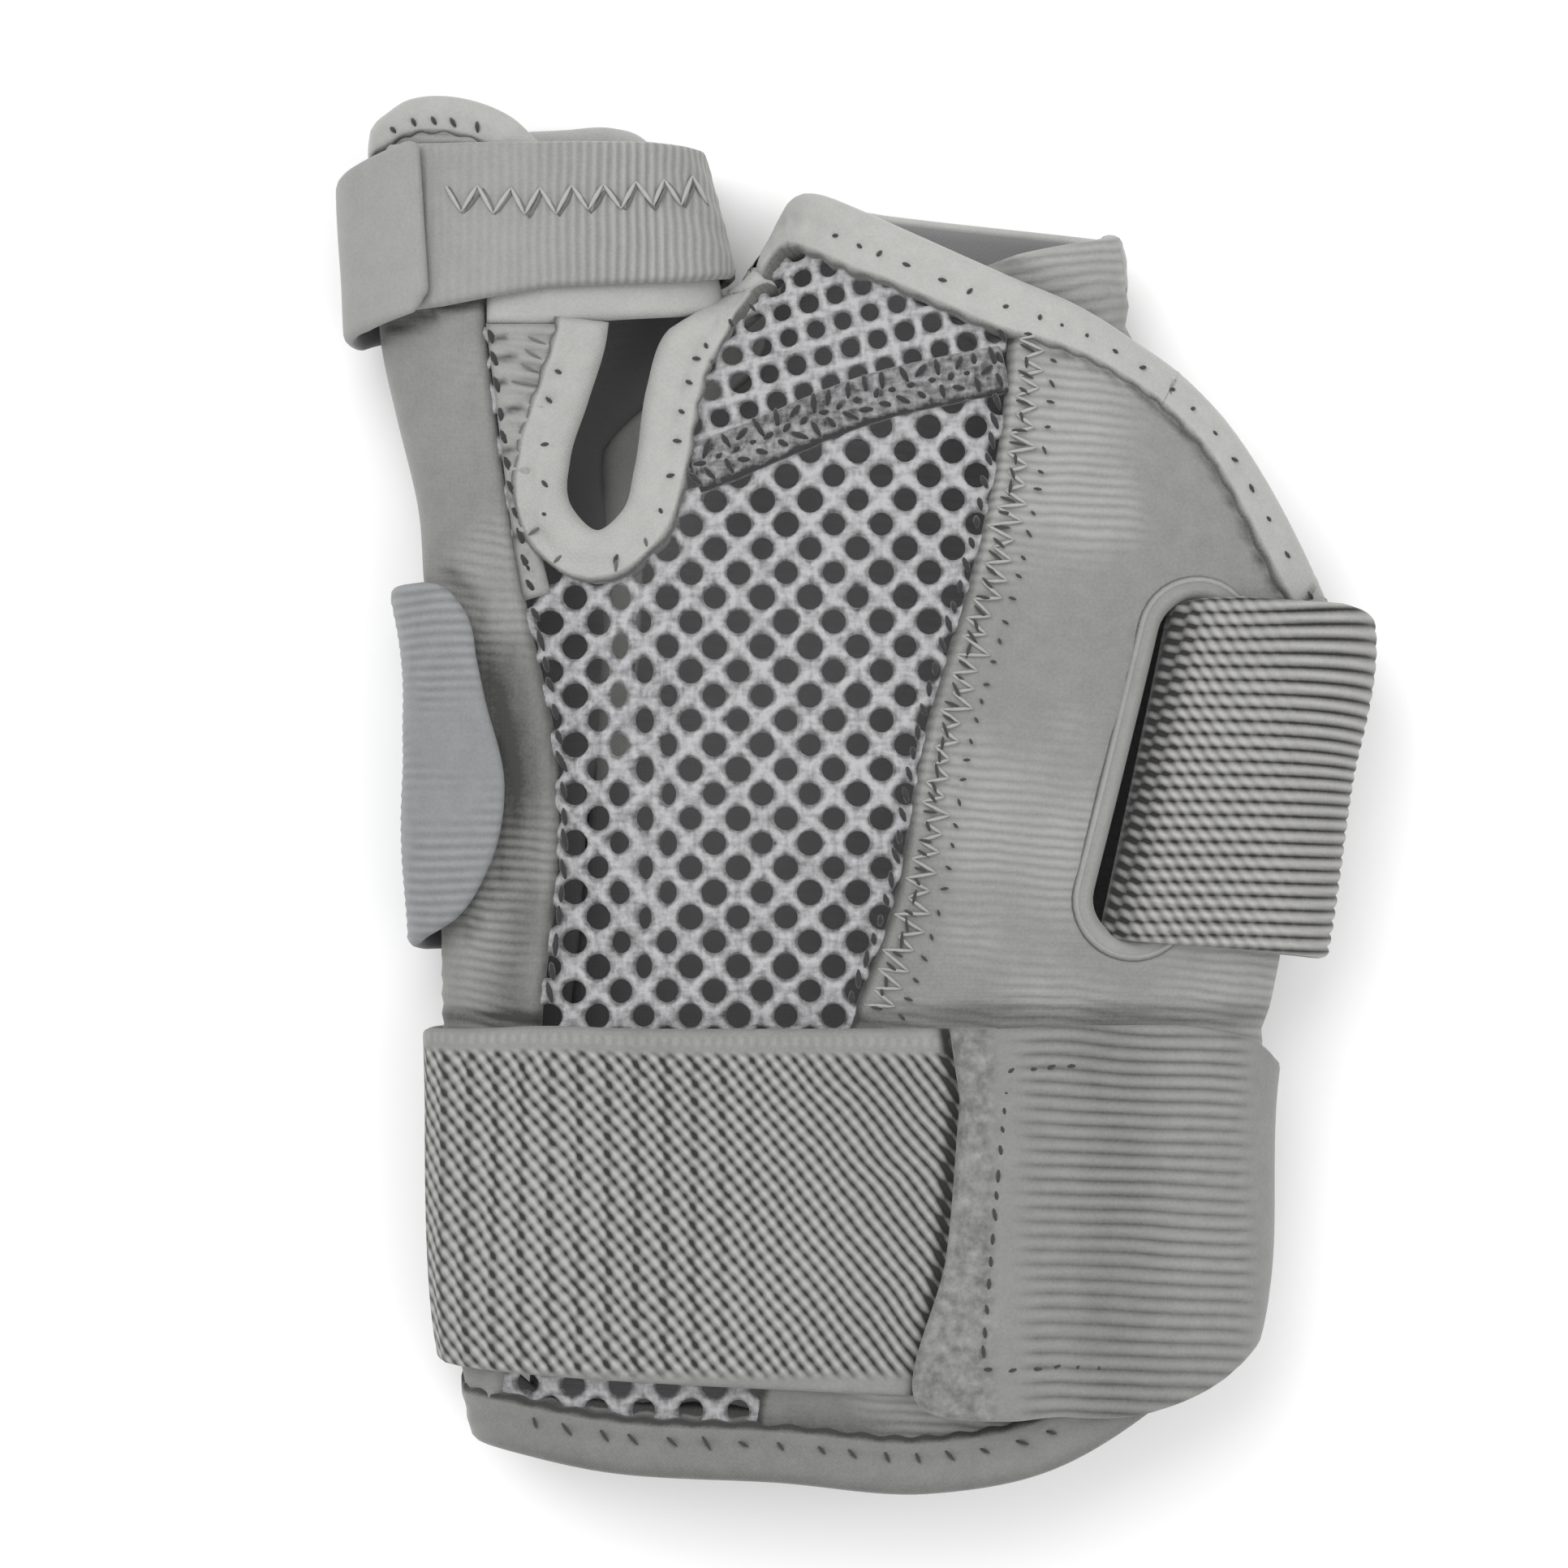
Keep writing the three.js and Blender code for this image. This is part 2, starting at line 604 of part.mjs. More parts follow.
function thumbStrapTab() {
  const onFront = prism(line(thumb, [
    [-0.9, 0.7], [-0.62, 0.81], [-0.37, 0.907], [-0.34, 0.9], [-0.31, 0.6], [-0.345, 0.557], [-0.57, 0.5],
    [-0.9, 0.42],
  ]), splitHeight - clearance, farOut);
  const onBack = prism(line(thumb, [
    [-0.9, 0.7], [-0.31, thumbStrapTop - 0.06], [-0.31, thumbStrapLow - 0.06], [-0.9, 0.42],
  ]), -farOut, splitHeight);
  const high = sleeveWall(thumbSections, tabSeat, tabTop).intersect(onFront);
  const low = sleeveWall(thumbSections, strapSeat, strapTop).intersect(onBack);
  const between = sleeveWall(thumbSections, strapSeat, tabTop).intersect(onFront)
    .intersect(prism(line(thumb, [[-0.9, 0], [0, 0], [0, 1], [-0.9, 1]]), splitHeight - 2, splitHeight + 2));
  return whole(high.add(low).add(between));
}

const splint = new THREE.Group();

function addPiece(name, solid, color, roughness) {
  const mesh = solid.getMesh();
  const geometry = new THREE.BufferGeometry();
  geometry.setAttribute('position', new THREE.BufferAttribute(new Float32Array(mesh.vertProperties), 3));
  geometry.setIndex(new THREE.BufferAttribute(new Uint32Array(mesh.triVerts), 1));
  geometry.computeVertexNormals();
  const piece = new THREE.Mesh(geometry, new THREE.MeshStandardMaterial({ color, roughness, metalness: 0 }));
  piece.name = name;
  splint.add(piece);
}

const panelGrey = 0x9d9e9e;
const tapeGrey = 0xb0b1b0;
const netGrey = 0xb4b4b3;
const elasticGrey = 0x8f9090;
const hookGrey = 0x9b9d9e;

addPiece('radial_gutter', radialGutter(), panelGrey, 0.9);
addPiece('thumb_band', thumbBand(), tapeGrey, 0.85);
addPiece('thumb_binding', thumbBinding(), tapeGrey, 0.85);
addPiece('palm_net', palmNet(), netGrey, 0.9);
addPiece('finger_net', fingerNet(), netGrey, 0.9);
addPiece('palm_panel', palmPanel(), panelGrey, 0.9);
addPiece('slot_rim', slotRim(), tapeGrey, 0.8);
addPiece('web_binding', webBinding(), tapeGrey, 0.85);
addPiece('finger_binding', fingerBinding(), tapeGrey, 0.85);
addPiece('dorsal_panel', dorsalPanel(), panelGrey, 0.9);
addPiece('dorsal_web_binding', dorsalWebBinding(), tapeGrey, 0.85);
addPiece('dorsal_finger_binding', dorsalFingerBinding(), tapeGrey, 0.85);
addPiece('wrist_binding', wristBinding(), tapeGrey, 0.85);
addPiece('wrist_strap', wristStrap(), elasticGrey, 0.95);
addPiece('wrist_strap_tab', wristStrapTab(), hookGrey, 0.9);
addPiece('palm_strap', palmStrap(), elasticGrey, 0.95);
addPiece('palm_strap_tab', palmStrapTab(), hookGrey, 0.9);
addPiece('thumb_strap', thumbStrap(), elasticGrey, 0.95);
addPiece('thumb_strap_tab', thumbStrapTab(), hookGrey, 0.9);

const extent = new THREE.Box3().setFromObject(splint);
const middle = extent.getCenter(new THREE.Vector3());
splint.position.set(-middle.x, -middle.y, -extent.min.z);

export default splint;
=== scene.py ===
import bpy
import numpy as np
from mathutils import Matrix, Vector
from mathutils.geometry import delaunay_2d_cdt


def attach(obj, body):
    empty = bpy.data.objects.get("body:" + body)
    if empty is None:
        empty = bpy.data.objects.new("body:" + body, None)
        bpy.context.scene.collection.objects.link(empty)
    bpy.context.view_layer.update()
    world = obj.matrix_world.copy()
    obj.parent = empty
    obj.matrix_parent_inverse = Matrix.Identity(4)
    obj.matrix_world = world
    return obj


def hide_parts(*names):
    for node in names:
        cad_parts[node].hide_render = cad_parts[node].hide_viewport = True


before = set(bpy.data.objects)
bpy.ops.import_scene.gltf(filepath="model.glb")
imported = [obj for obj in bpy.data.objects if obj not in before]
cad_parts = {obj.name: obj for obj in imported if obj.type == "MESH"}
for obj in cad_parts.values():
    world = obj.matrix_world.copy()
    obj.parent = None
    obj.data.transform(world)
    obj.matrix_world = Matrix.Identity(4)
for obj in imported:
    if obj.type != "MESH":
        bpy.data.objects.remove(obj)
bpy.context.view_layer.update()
rowShift = np.array([0.167, -0.11, 0.0])
rng = np.random.default_rng(7)


# Numbers

def smooth(low, high, x):
    # 0 below low, 1 above high, 3t^2 - 2t^3 between them
    t = np.clip((x - low) / (high - low), 0, 1)
    return t * t * (3 - 2 * t)


def spline(knots, values, at):
    # Cubic through the knots, whose slope at a knot is the mean slope beside it
    at = np.clip(at, knots[0], knots[-1])
    slopes = np.gradient(values, knots)
    index = np.clip(np.searchsorted(knots, at, side="right") - 1, 0, len(knots) - 2)
    step = knots[index + 1] - knots[index]
    t = (at - knots[index]) / step
    start = (1 + 2 * t) * (1 - t) ** 2 * values[index] + t * (1 - t) ** 2 * step * slopes[index]
    return start + t * t * (3 - 2 * t) * values[index + 1] + t * t * (t - 1) * step * slopes[index + 1]


def lengths(points):
    # Distance along a line of points, from its first
    return np.concatenate([[0], np.cumsum(np.linalg.norm(np.diff(points, axis=0), axis=1))])


def curve(points, step=0.8, smoothed=True):
    # Line through the points at even steps, each coordinate a spline of the distance along it
    points = np.array(points, float)
    along = lengths(points)
    at = np.linspace(0, along[-1], max(int(along[-1] / step), 2) + 1)
    if not smoothed:
        return np.stack([np.interp(at, along, points[:, k]) for k in (0, 1)], 1)
    fine = np.stack([spline(along, points[:, k], np.linspace(0, along[-1], 8 * len(at))) for k in (0, 1)], 1)
    along = lengths(fine)
    at = np.linspace(0, along[-1], len(at))
    return np.stack([np.interp(at, along, fine[:, k]) for k in (0, 1)], 1)


def sideOf(points):
    # Unit vectors to the left of a line of points
    way = np.gradient(points, axis=0)
    way /= np.linalg.norm(way, axis=1, keepdims=True) + 1e-9
    return np.stack([-way[:, 1], way[:, 0]], 1)


def distanceTo(points, line):
    # Distance of each point to the nearest part of a line, and the sign of its side, + to the left
    start, span = line[:-1], np.diff(line, axis=0)
    best = np.full(len(points), 1e9)
    sign = np.ones(len(points))
    for first in range(0, len(points), 4000):
        block = points[first:first + 4000, None] - start[None]
        share = np.clip((block * span).sum(2) / ((span * span).sum(1) + 1e-12), 0, 1)
        gap = block - share[..., None] * span
        far = np.linalg.norm(gap, axis=2)
        near = far.argmin(1)
        rows = np.arange(len(near))
        best[first:first + 4000] = far[rows, near]
        turn = span[near, 0] * block[rows, near, 1] - span[near, 1] * block[rows, near, 0]
        sign[first:first + 4000] = np.where(turn >= 0, 1, -1)
    return best, sign


def insideOf(points, outline):
    # Even-odd count of the outline's sides to the right of each point
    inside = np.zeros(len(points), bool)
    for (ax, ay), (bx, by) in zip(outline, np.roll(outline, -1, axis=0)):
        between = (ay > points[:, 1]) != (by > points[:, 1])
        reach = ax + (points[:, 1] - ay) * (bx - ax) / (by - ay if by != ay else 1e-9)
        inside ^= between & (points[:, 0] < reach)
    return inside


def areaOf(outline):
    x, y = outline.T
    return abs(np.dot(x, np.roll(y, -1)) - np.dot(y, np.roll(x, -1))) / 2


def nearest(points, line):
    # Foot of each point on the line
    start, span = line[:-1], np.diff(line, axis=0)
    block = points[:, None] - start[None]
    share = np.clip((block * span).sum(2) / ((span * span).sum(1) + 1e-12), 0, 1)
    foot = start[None] + share[..., None] * span[None]
    which = np.linalg.norm(points[:, None] - foot, axis=2).argmin(1)
    return foot[np.arange(len(points)), which]


def pushed(line, distance):
    # Line moved to its left
    return line + sideOf(line) * distance


def wobble(x, y, wave, seed):
    # Sum of five sines in different directions, from -1 to 1, about one wave across
    total = np.zeros(np.broadcast(x, y).shape)
    source = np.random.default_rng(seed)
    turns, phases, scales = [source.uniform(low, high, 5) for low, high in ((0, 3.14), (0, 6.28), (0.7, 1.5))]
    for turn, phase, scale in zip(turns, phases, scales):
        total = total + np.sin((x * np.cos(turn) + y * np.sin(turn)) * 6.28 / (wave * scale) + phase)
    return total / 5


# Body that the cloth lies on: hand and thumb sleeves with flat backs

body = {
    "backHeight": 2.5,
    "flatShare": 0.9,
    "frontPower": 2.5,
    "backPower": 3.4,
    "webFillet": 6.0,
    # along, left, right, depth
    "hand": [
        (-94, -45.5, 37, 25.2), (-80, -46.6, 42.5, 27), (-68, -49, 46.8, 29.4), (-31, -50.8, 50, 28.8),
        (-18, -51, 52.4, 30.6), (2, -51.6, 55, 31.8), (20, -49, 57.8, 30), (31, -40, 55.2, 28.2),
        (40, -31, 50.8, 25.8), (49, -24.5, 44, 23.4), (58, -18.5, 34.5, 21.9), (67, -10.8, 33, 20.4),
        (82, -6, 32.5, 20.4),
    ],
    "thumb": [
        (1, -39.3, -26.5, 21.6), (20.2, -52.1, -21.7, 24), (35.8, -54.1, -16.9, 24.5),
        (46.6, -56.7, -14.9, 24), (55, -58.5, -15.3, 23.5), (64, -59.1, -17.3, 22.8),
        (76.6, -59.7, -20.5, 22.1), (91, -59.9, -23.3, 21.6),
    ],
    # long dips of the front: x at its lower and upper end, y range, half width, depth
    "dips": [(-36, -39, -34, 40, 6.5, 2.6), (-27.5, -26, -20, 22, 2.4, 1.1), (20, 24, -26, 40, 13, 0.7)],
}
handTable = np.array(body["hand"], float).T
thumbTable = np.array(body["thumb"], float).T


def sectionOf(table, y):
    return [spline(table[0], row, y) for row in table[1:]]


def tubeDistance(x, z, left, right, depth):
    # Superellipse |x/a|^p + |z/b|^p = 1, as a distance to first order, cut flat at its back
    across = np.abs(x - (left + right) / 2) / ((right - left) / 2) + 1e-6
    centre = body["backHeight"] + body["flatShare"] * depth / 2
    upward = np.abs(z - centre) / (depth / 2) + 1e-6
    power = np.where(z < centre, body["backPower"], body["frontPower"])
    total = across ** power + upward ** power
    slope = np.hypot(across ** (power - 1) / ((right - left) / 2), upward ** (power - 1) / (depth / 2))
    distance = (total ** (1 / power) - 1) / (slope * total ** (1 / power - 1))
    floor = body["backHeight"] - z
    soft = np.maximum(2.0 - np.abs(distance - floor), 0) / 2.0
    return np.maximum(distance, floor) + soft * soft * 0.5


def dipOf(x, y):
    # Sum of bells across a line that fade out at both of its ends
    total = 0
    for low, high, start, end, width, depth in body["dips"]:
        share = (y - start) / (end - start)
        middle = low + (high - low) * share
        fade = smooth(0, 0.25, share) * (1 - smooth(0.75, 1, share))
        total = total + depth * fade * np.exp(-((x - middle) / width) ** 2)
    return total


def bodyDistance(x, y, z, kind):
    # Smooth least of the two sleeves' distances; each fades out where the other stands alone
    hand = tubeDistance(x, z, *sectionOf(handTable, y))
    thumb = tubeDistance(x, z, *sectionOf(thumbTable, y)) + np.maximum(1 - y, 0)
    if kind == "thumb":
        hand = hand + 3 * np.maximum(y - 54, 0)
    else:
        thumb = thumb + 3 * np.maximum(y - 59, 0)
    fillet = body["webFillet"]
    near = np.maximum(fillet - np.abs(hand - thumb), 0) / fillet
    union = np.minimum(hand, thumb) - near * near * fillet / 4
    return union + dipOf(x, y) * smooth(14, 20, z)


class Ring:
    # Body's surface as rays. s is x where the rays are upright, and past a fan's centre it goes on around the
    # side; kind hand and thumb start from the front, kind back from the back
    def __init__(self, kind):
        self.kind = kind
        self.rows = np.arange(-96, 95, 1.0)
        self.cols = np.arange(-200, 200.1, 0.5)
        y, s = np.meshgrid(self.rows, self.cols, indexing="ij")
        left, right = self.sides(y)
        radius = 10.5 if kind == "thumb" else 14.0
        rightFan = right - radius
        leftFan = left + radius
        if kind == "back":
            leftFan = np.where(y < 58, -130, handSide(y)[0] + 8)
        over = np.maximum(s - rightFan, 0) - np.maximum(leftFan - s, 0)
        bend = np.clip(np.abs(over) / radius, 0, np.pi)
        past = np.maximum(np.abs(over) - np.pi * radius, 0) * np.sign(over)
        start = np.clip(np.clip(s, leftFan, rightFan) - past, leftFan - 0.8 * radius, rightFan + 0.8 * radius)
        wayX = np.sin(bend) * np.sign(over)
        wayZ = np.cos(bend) * (-1 if kind == "back" else 1)
        near, far = np.zeros_like(s), np.full_like(s, 75.0)
        for _ in range(18):
            middle = (near + far) / 2
            outside = bodyDistance(start + wayX * middle, y, 13 + wayZ * middle, kind) > 0
            far = np.where(outside, middle, far)
            near = np.where(outside, near, middle)
        place = np.stack([start + wayX * near, y, 13 + wayZ * near], 2)
        for _ in range(2):
            inner = place[1:-1, 1:-1]
            around = place[2:, 1:-1] + place[:-2, 1:-1] + place[1:-1, 2:] + place[1:-1, :-2]
            place[1:-1, 1:-1] = inner * 0.5 + around * 0.125
        normal = np.cross(np.gradient(place, axis=1), np.gradient(place, axis=0))
        normal *= -1 if kind == "back" else 1
        normal /= np.linalg.norm(normal, axis=2, keepdims=True) + 1e-9
        self.table = np.concatenate([place, normal], 2)
        self.silhouette = [
            (leftFan - radius * np.pi / 2)[:, 0],
            (rightFan + radius * np.pi / 2)[:, 0],
        ]
        self.xs = np.arange(-80, 80.1, 0.5)
        upper, lower, other = [], [], []
        for row in range(len(self.rows)):
            low, high = [np.searchsorted(self.cols, side[row]) for side in self.silhouette]
            low = max(low, 1)
            x = np.maximum.accumulate(place[row, low:high, 0]) + np.arange(high - low) * 1e-6
            s = self.cols[low:high]
            beyond = np.clip(self.xs - x[-1], 0, 9) - np.clip(x[0] - self.xs, 0, 9)
            upper.append(np.interp(self.xs, x, s) + beyond)
            x = np.maximum.accumulate(place[row, :low, 0][::-1]) + np.arange(low) * 1e-6
            lower.append(np.interp(self.xs, x, self.cols[:low][::-1]))
            x = np.maximum.accumulate(place[row, high:, 0][::-1]) + np.arange(len(self.cols) - high) * 1e-6
            other.append(np.interp(self.xs, x, self.cols[high:][::-1]))
        self.near, self.byLeft, self.byRight = np.array(upper), np.array(lower), np.array(other)

    def sides(self, y):
        # Outermost x of the part of the body that this kind follows
        handLeft, handRight = handSide(y)
        thumbLeft, thumbRight = sectionOf(thumbTable, y)[:2]
        thumbLeft = np.where(y < 1, handLeft, thumbLeft)
        both = np.minimum(handLeft, thumbLeft)
        if self.kind == "thumb":
            return both, np.where(y > 54, thumbRight, 20 + 0 * y)
        return both + (handLeft - both) * smooth(58, 63, y), handRight

    def lookUp(self, grid, axis, a, y):
        # Bilinear value of a table at (a, y)
        u = np.clip((a - axis[0]) / (axis[1] - axis[0]), 0, len(axis) - 1.001)
        v = np.clip(y - self.rows[0], 0, len(self.rows) - 1.001)
        i, j = u.astype(int), v.astype(int)
        fu, fv = u - i, v - j
        if grid.ndim == 3:
            fu, fv = fu[..., None], fv[..., None]
        low = grid[j, i] * (1 - fu) + grid[j, i + 1] * fu
        high = grid[j + 1, i] * (1 - fu) + grid[j + 1, i + 1] * fu
        return low * (1 - fv) + high * fv

    def place(self, s, y, offset):
        # Point of the surface at (s, y), moved out along its normal, in the row's frame and in metres
        found = self.lookUp(self.table, self.cols, np.asarray(s, float), np.asarray(y, float))
        normal = found[..., 3:]
        normal = normal / (np.linalg.norm(normal, axis=-1, keepdims=True) + 1e-9)
        place = found[..., :3] + normal * np.asarray(offset)[..., None] + rowShift
        place[..., 2] = np.maximum(place[..., 2], 0)  # on the floor
        return place / 1000

    def flat(self, points, way="near"):
        # Plan points as (s, y)
        points = np.asarray(points, float)
        s = self.lookUp(getattr(self, way), self.xs, points[:, 0], points[:, 1])
        return np.stack([s, points[:, 1]], 1)

    def sideAt(self, y, side):
        return np.interp(y, self.rows, self.silhouette[side])


def handSide(y):
    return sectionOf(handTable, y)[:2]


class Plan:
    # Front of the body by plan points: the hand's ring, which turns into the thumb's beside the web
    kind = "hand"

    def place(self, x, y, offset):
        x, y = np.asarray(x, float), np.asarray(y, float)
        share = smooth(48, 56, y) * smooth(-22, -27, x)
        found = []
        for ring in (rings["hand"], rings["thumb"]):
            flat = ring.flat(np.stack([x.ravel(), y.ravel()], 1))
            found.append(ring.place(flat[:, 0].reshape(x.shape), y, offset))
        return found[0] * (1 - share[..., None]) + found[1] * share[..., None]


rings = {kind: Ring(kind) for kind in ("hand", "thumb", "back")}
hand, thumb, back, plan = rings["hand"], rings["thumb"], rings["back"], Plan()
print("body done")


# Meshes

def shade(mesh):
    mesh.polygons.foreach_set("use_smooth", np.ones(len(mesh.polygons), bool))


def addPiece(name, points, faces, look, uv=None, marks=None, replaces=None):
    # Mesh from arrays: faces is a list of index arrays, uv is mm per point, marks are numbers per point
    name = name + "_cloth" if replaces else name
    mesh = bpy.data.meshes.new(name)
    if isinstance(faces, np.ndarray):
        faces = [faces]
    counts = np.concatenate([np.full(len(part), part.shape[1]) for part in faces])
    corners = np.concatenate([part.ravel() for part in faces])
    mesh.vertices.add(len(points))
    mesh.vertices.foreach_set("co", np.asarray(points, np.float32).ravel())
    mesh.loops.add(len(corners))
    mesh.loops.foreach_set("vertex_index", corners.astype(np.int32))
    mesh.polygons.add(len(counts))
    mesh.polygons.foreach_set("loop_start", np.concatenate([[0], np.cumsum(counts)[:-1]]).astype(np.int32))
    mesh.polygons.foreach_set("loop_total", counts.astype(np.int32))
    mesh.update(calc_edges=True)
    shade(mesh)
    if uv is not None:
        layer = mesh.uv_layers.new(name="cloth")
        layer.data.foreach_set("uv", (np.asarray(uv)[corners] / 100).astype(np.float32).ravel())
    for key, values in (marks or {}).items():
        attribute = mesh.attributes.new(key, "FLOAT", "POINT")
        attribute.data.foreach_set("value", np.broadcast_to(values, len(points)).astype(np.float32))
    mesh.validate()
    piece = bpy.data.objects.new(name, mesh)
    bpy.context.scene.collection.objects.link(piece)
    piece.data.materials.append(materials[look])
    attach(piece, "root")
    if replaces:
        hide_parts(replaces)
    return piece


def asSheet(piece, width, length, area=None):
    # Flat sizes come in mm
    max(width, 10) / 1000
    max(length, 10) / 1000
    None if area is None else area / 1e6
    return piece


def cutCloth(name, ring, outline, look, low, high, pitch=(1.6, 1.6), edge=1.1, relief=None, lift=None,
             hole=None, held="laid", restsOn=(), painted_shade=(), replaces=True):
    # Closed pillow between low and high over an outline in (s, y). A point at distance d from the edge has
    # half thickness h * sqrt(1 - (1 - d / edge)^2); relief adds to the outer face, lift moves both faces, and
    # the shade bands paint shade by darkening the colour along lines: line, width, strength
    outline = curve(np.vstack([outline, outline[:1]]), 0.75, smoothed=False)[:-1]
    loops = [outline] if hole is None else [outline, hole]
    closed = [np.vstack([loop, loop[:1]]) for loop in loops]
    kept, edges, count = [], [], 0
    for loop in loops:
        kept.append(loop)
        index = np.arange(len(loop)) + count
        edges.append(np.stack([index, np.roll(index, -1)], 1))
        count += len(loop)
    rim = count

    def edgeDistance(points):
        return np.min([distanceTo(points, line)[0] for line in closed], axis=0)

    def isInside(points):
        inside = insideOf(points, outline)
        return inside if hole is None else inside & ~insideOf(points, hole)

    for inset in (0.12 * edge, 0.45 * edge, edge):
        for loop in loops:
            for side in (-1, 1):
                moved = loop + sideOf(np.vstack([loop[-1:], loop, loop[:1]]))[1:-1] * inset * side
                good = isInside(moved) & (edgeDistance(moved) > 0.94 * inset)
                kept.append(moved[good])
    lowest, highest = outline.min(0), outline.max(0)
    u, v = np.meshgrid(np.arange(lowest[0] - 20, highest[0] + 20, pitch[0]),
                       np.arange(lowest[1] - 20, highest[1] + 20, pitch[1]))
    grid = np.stack([u.ravel(), v.ravel()], 1)
    grid = grid[(grid > lowest).all(1) & (grid < highest).all(1)]
    grid = grid[isInside(grid)]
    grid = grid[edgeDistance(grid) > edge + 0.45 * min(pitch)]
    kept.append(grid)
    points = np.vstack(kept)
    vectors = [Vector(p) for p in points.tolist()]
    found = delaunay_2d_cdt(vectors, np.vstack(edges).tolist(), [], 0, 1e-5, False)
    flat = np.array([tuple(p) for p in found[0]])
    faces = np.array([face for face in found[2] if len(face) == 3])
    faces = faces[isInside(flat[faces].mean(1))]
    a, b, c = flat[faces[:, 0]], flat[faces[:, 1]], flat[faces[:, 2]]
    turn = (b[:, 0] - a[:, 0]) * (c[:, 1] - a[:, 1]) - (b[:, 1] - a[:, 1]) * (c[:, 0] - a[:, 0])
    faces[turn < 0] = faces[turn < 0][:, ::-1]
    used = np.unique(faces)
    renumber = np.zeros(len(flat), int)
    renumber[used] = np.arange(len(used))
    flat, faces = flat[used], renumber[faces]
    depth = edgeDistance(flat)
    onRim = depth < 1e-3
    half = (high - low) / 2 * np.sqrt(np.clip(1 - (1 - np.clip(depth / edge, 0, 1)) ** 2, 0, 1))
    half[onRim] = 0
    middle = (high + low) / 2 + (0 if lift is None else lift(flat[:, 0], flat[:, 1]))
    bump = 0 if relief is None else relief(flat[:, 0], flat[:, 1]) * np.clip(depth / edge, 0, 1)
    outer = ring.place(flat[:, 0], flat[:, 1], middle + half + bump)
    under = ring.place(flat[:, 0], flat[:, 1], middle - half)
    second = np.arange(len(flat))
    second[~onRim] = len(flat) + np.arange((~onRim).sum())
    flip = ring.kind == "back"
    upper = faces[:, ::-1] if flip else faces
    lower = second[faces] if flip else second[faces[:, ::-1]]
    mapping = np.vstack([flat, flat[~onRim]])
    lining_and_shade = np.concatenate([np.zeros(len(flat)), np.ones((~onRim).sum())])
    # painted shade: darker colour in bands along the given lines, where shade falls
    paintedShade = 0 * depth
    for line, wide, strength in painted_shade:
        paintedShade = paintedShade + strength * np.exp(-(distanceTo(flat, line)[0] / wide) ** 2)
    paintedShade = np.concatenate([paintedShade, 0 * depth[~onRim]])
    piece = addPiece(name, np.vstack([outer, under[~onRim]]), np.vstack([upper, lower]), look, mapping,
                     {"lining_and_shade": lining_and_shade, "painted_shade": paintedShade}, name if replaces else None)
    size = highest - lowest
    area = areaOf(outline) - (0 if hole is None else areaOf(hole))
    asSheet(piece, size[0], size[1], max(area, 0.301 * size[0] * size[1]))
    print(name, len(faces) * 2)
    return piece


def tubeFaces(rows, cols, closedRows=False):
    # Quads of a grid whose columns close on themselves
    i, j = np.meshgrid(np.arange(rows if closedRows else rows - 1), np.arange(cols), indexing="ij")
    i, j = i.ravel(), j.ravel()
    k, m = (i + 1) % rows, (j + 1) % cols
    return np.stack([i * cols + j, i * cols + m, k * cols + m, k * cols + j], 1)


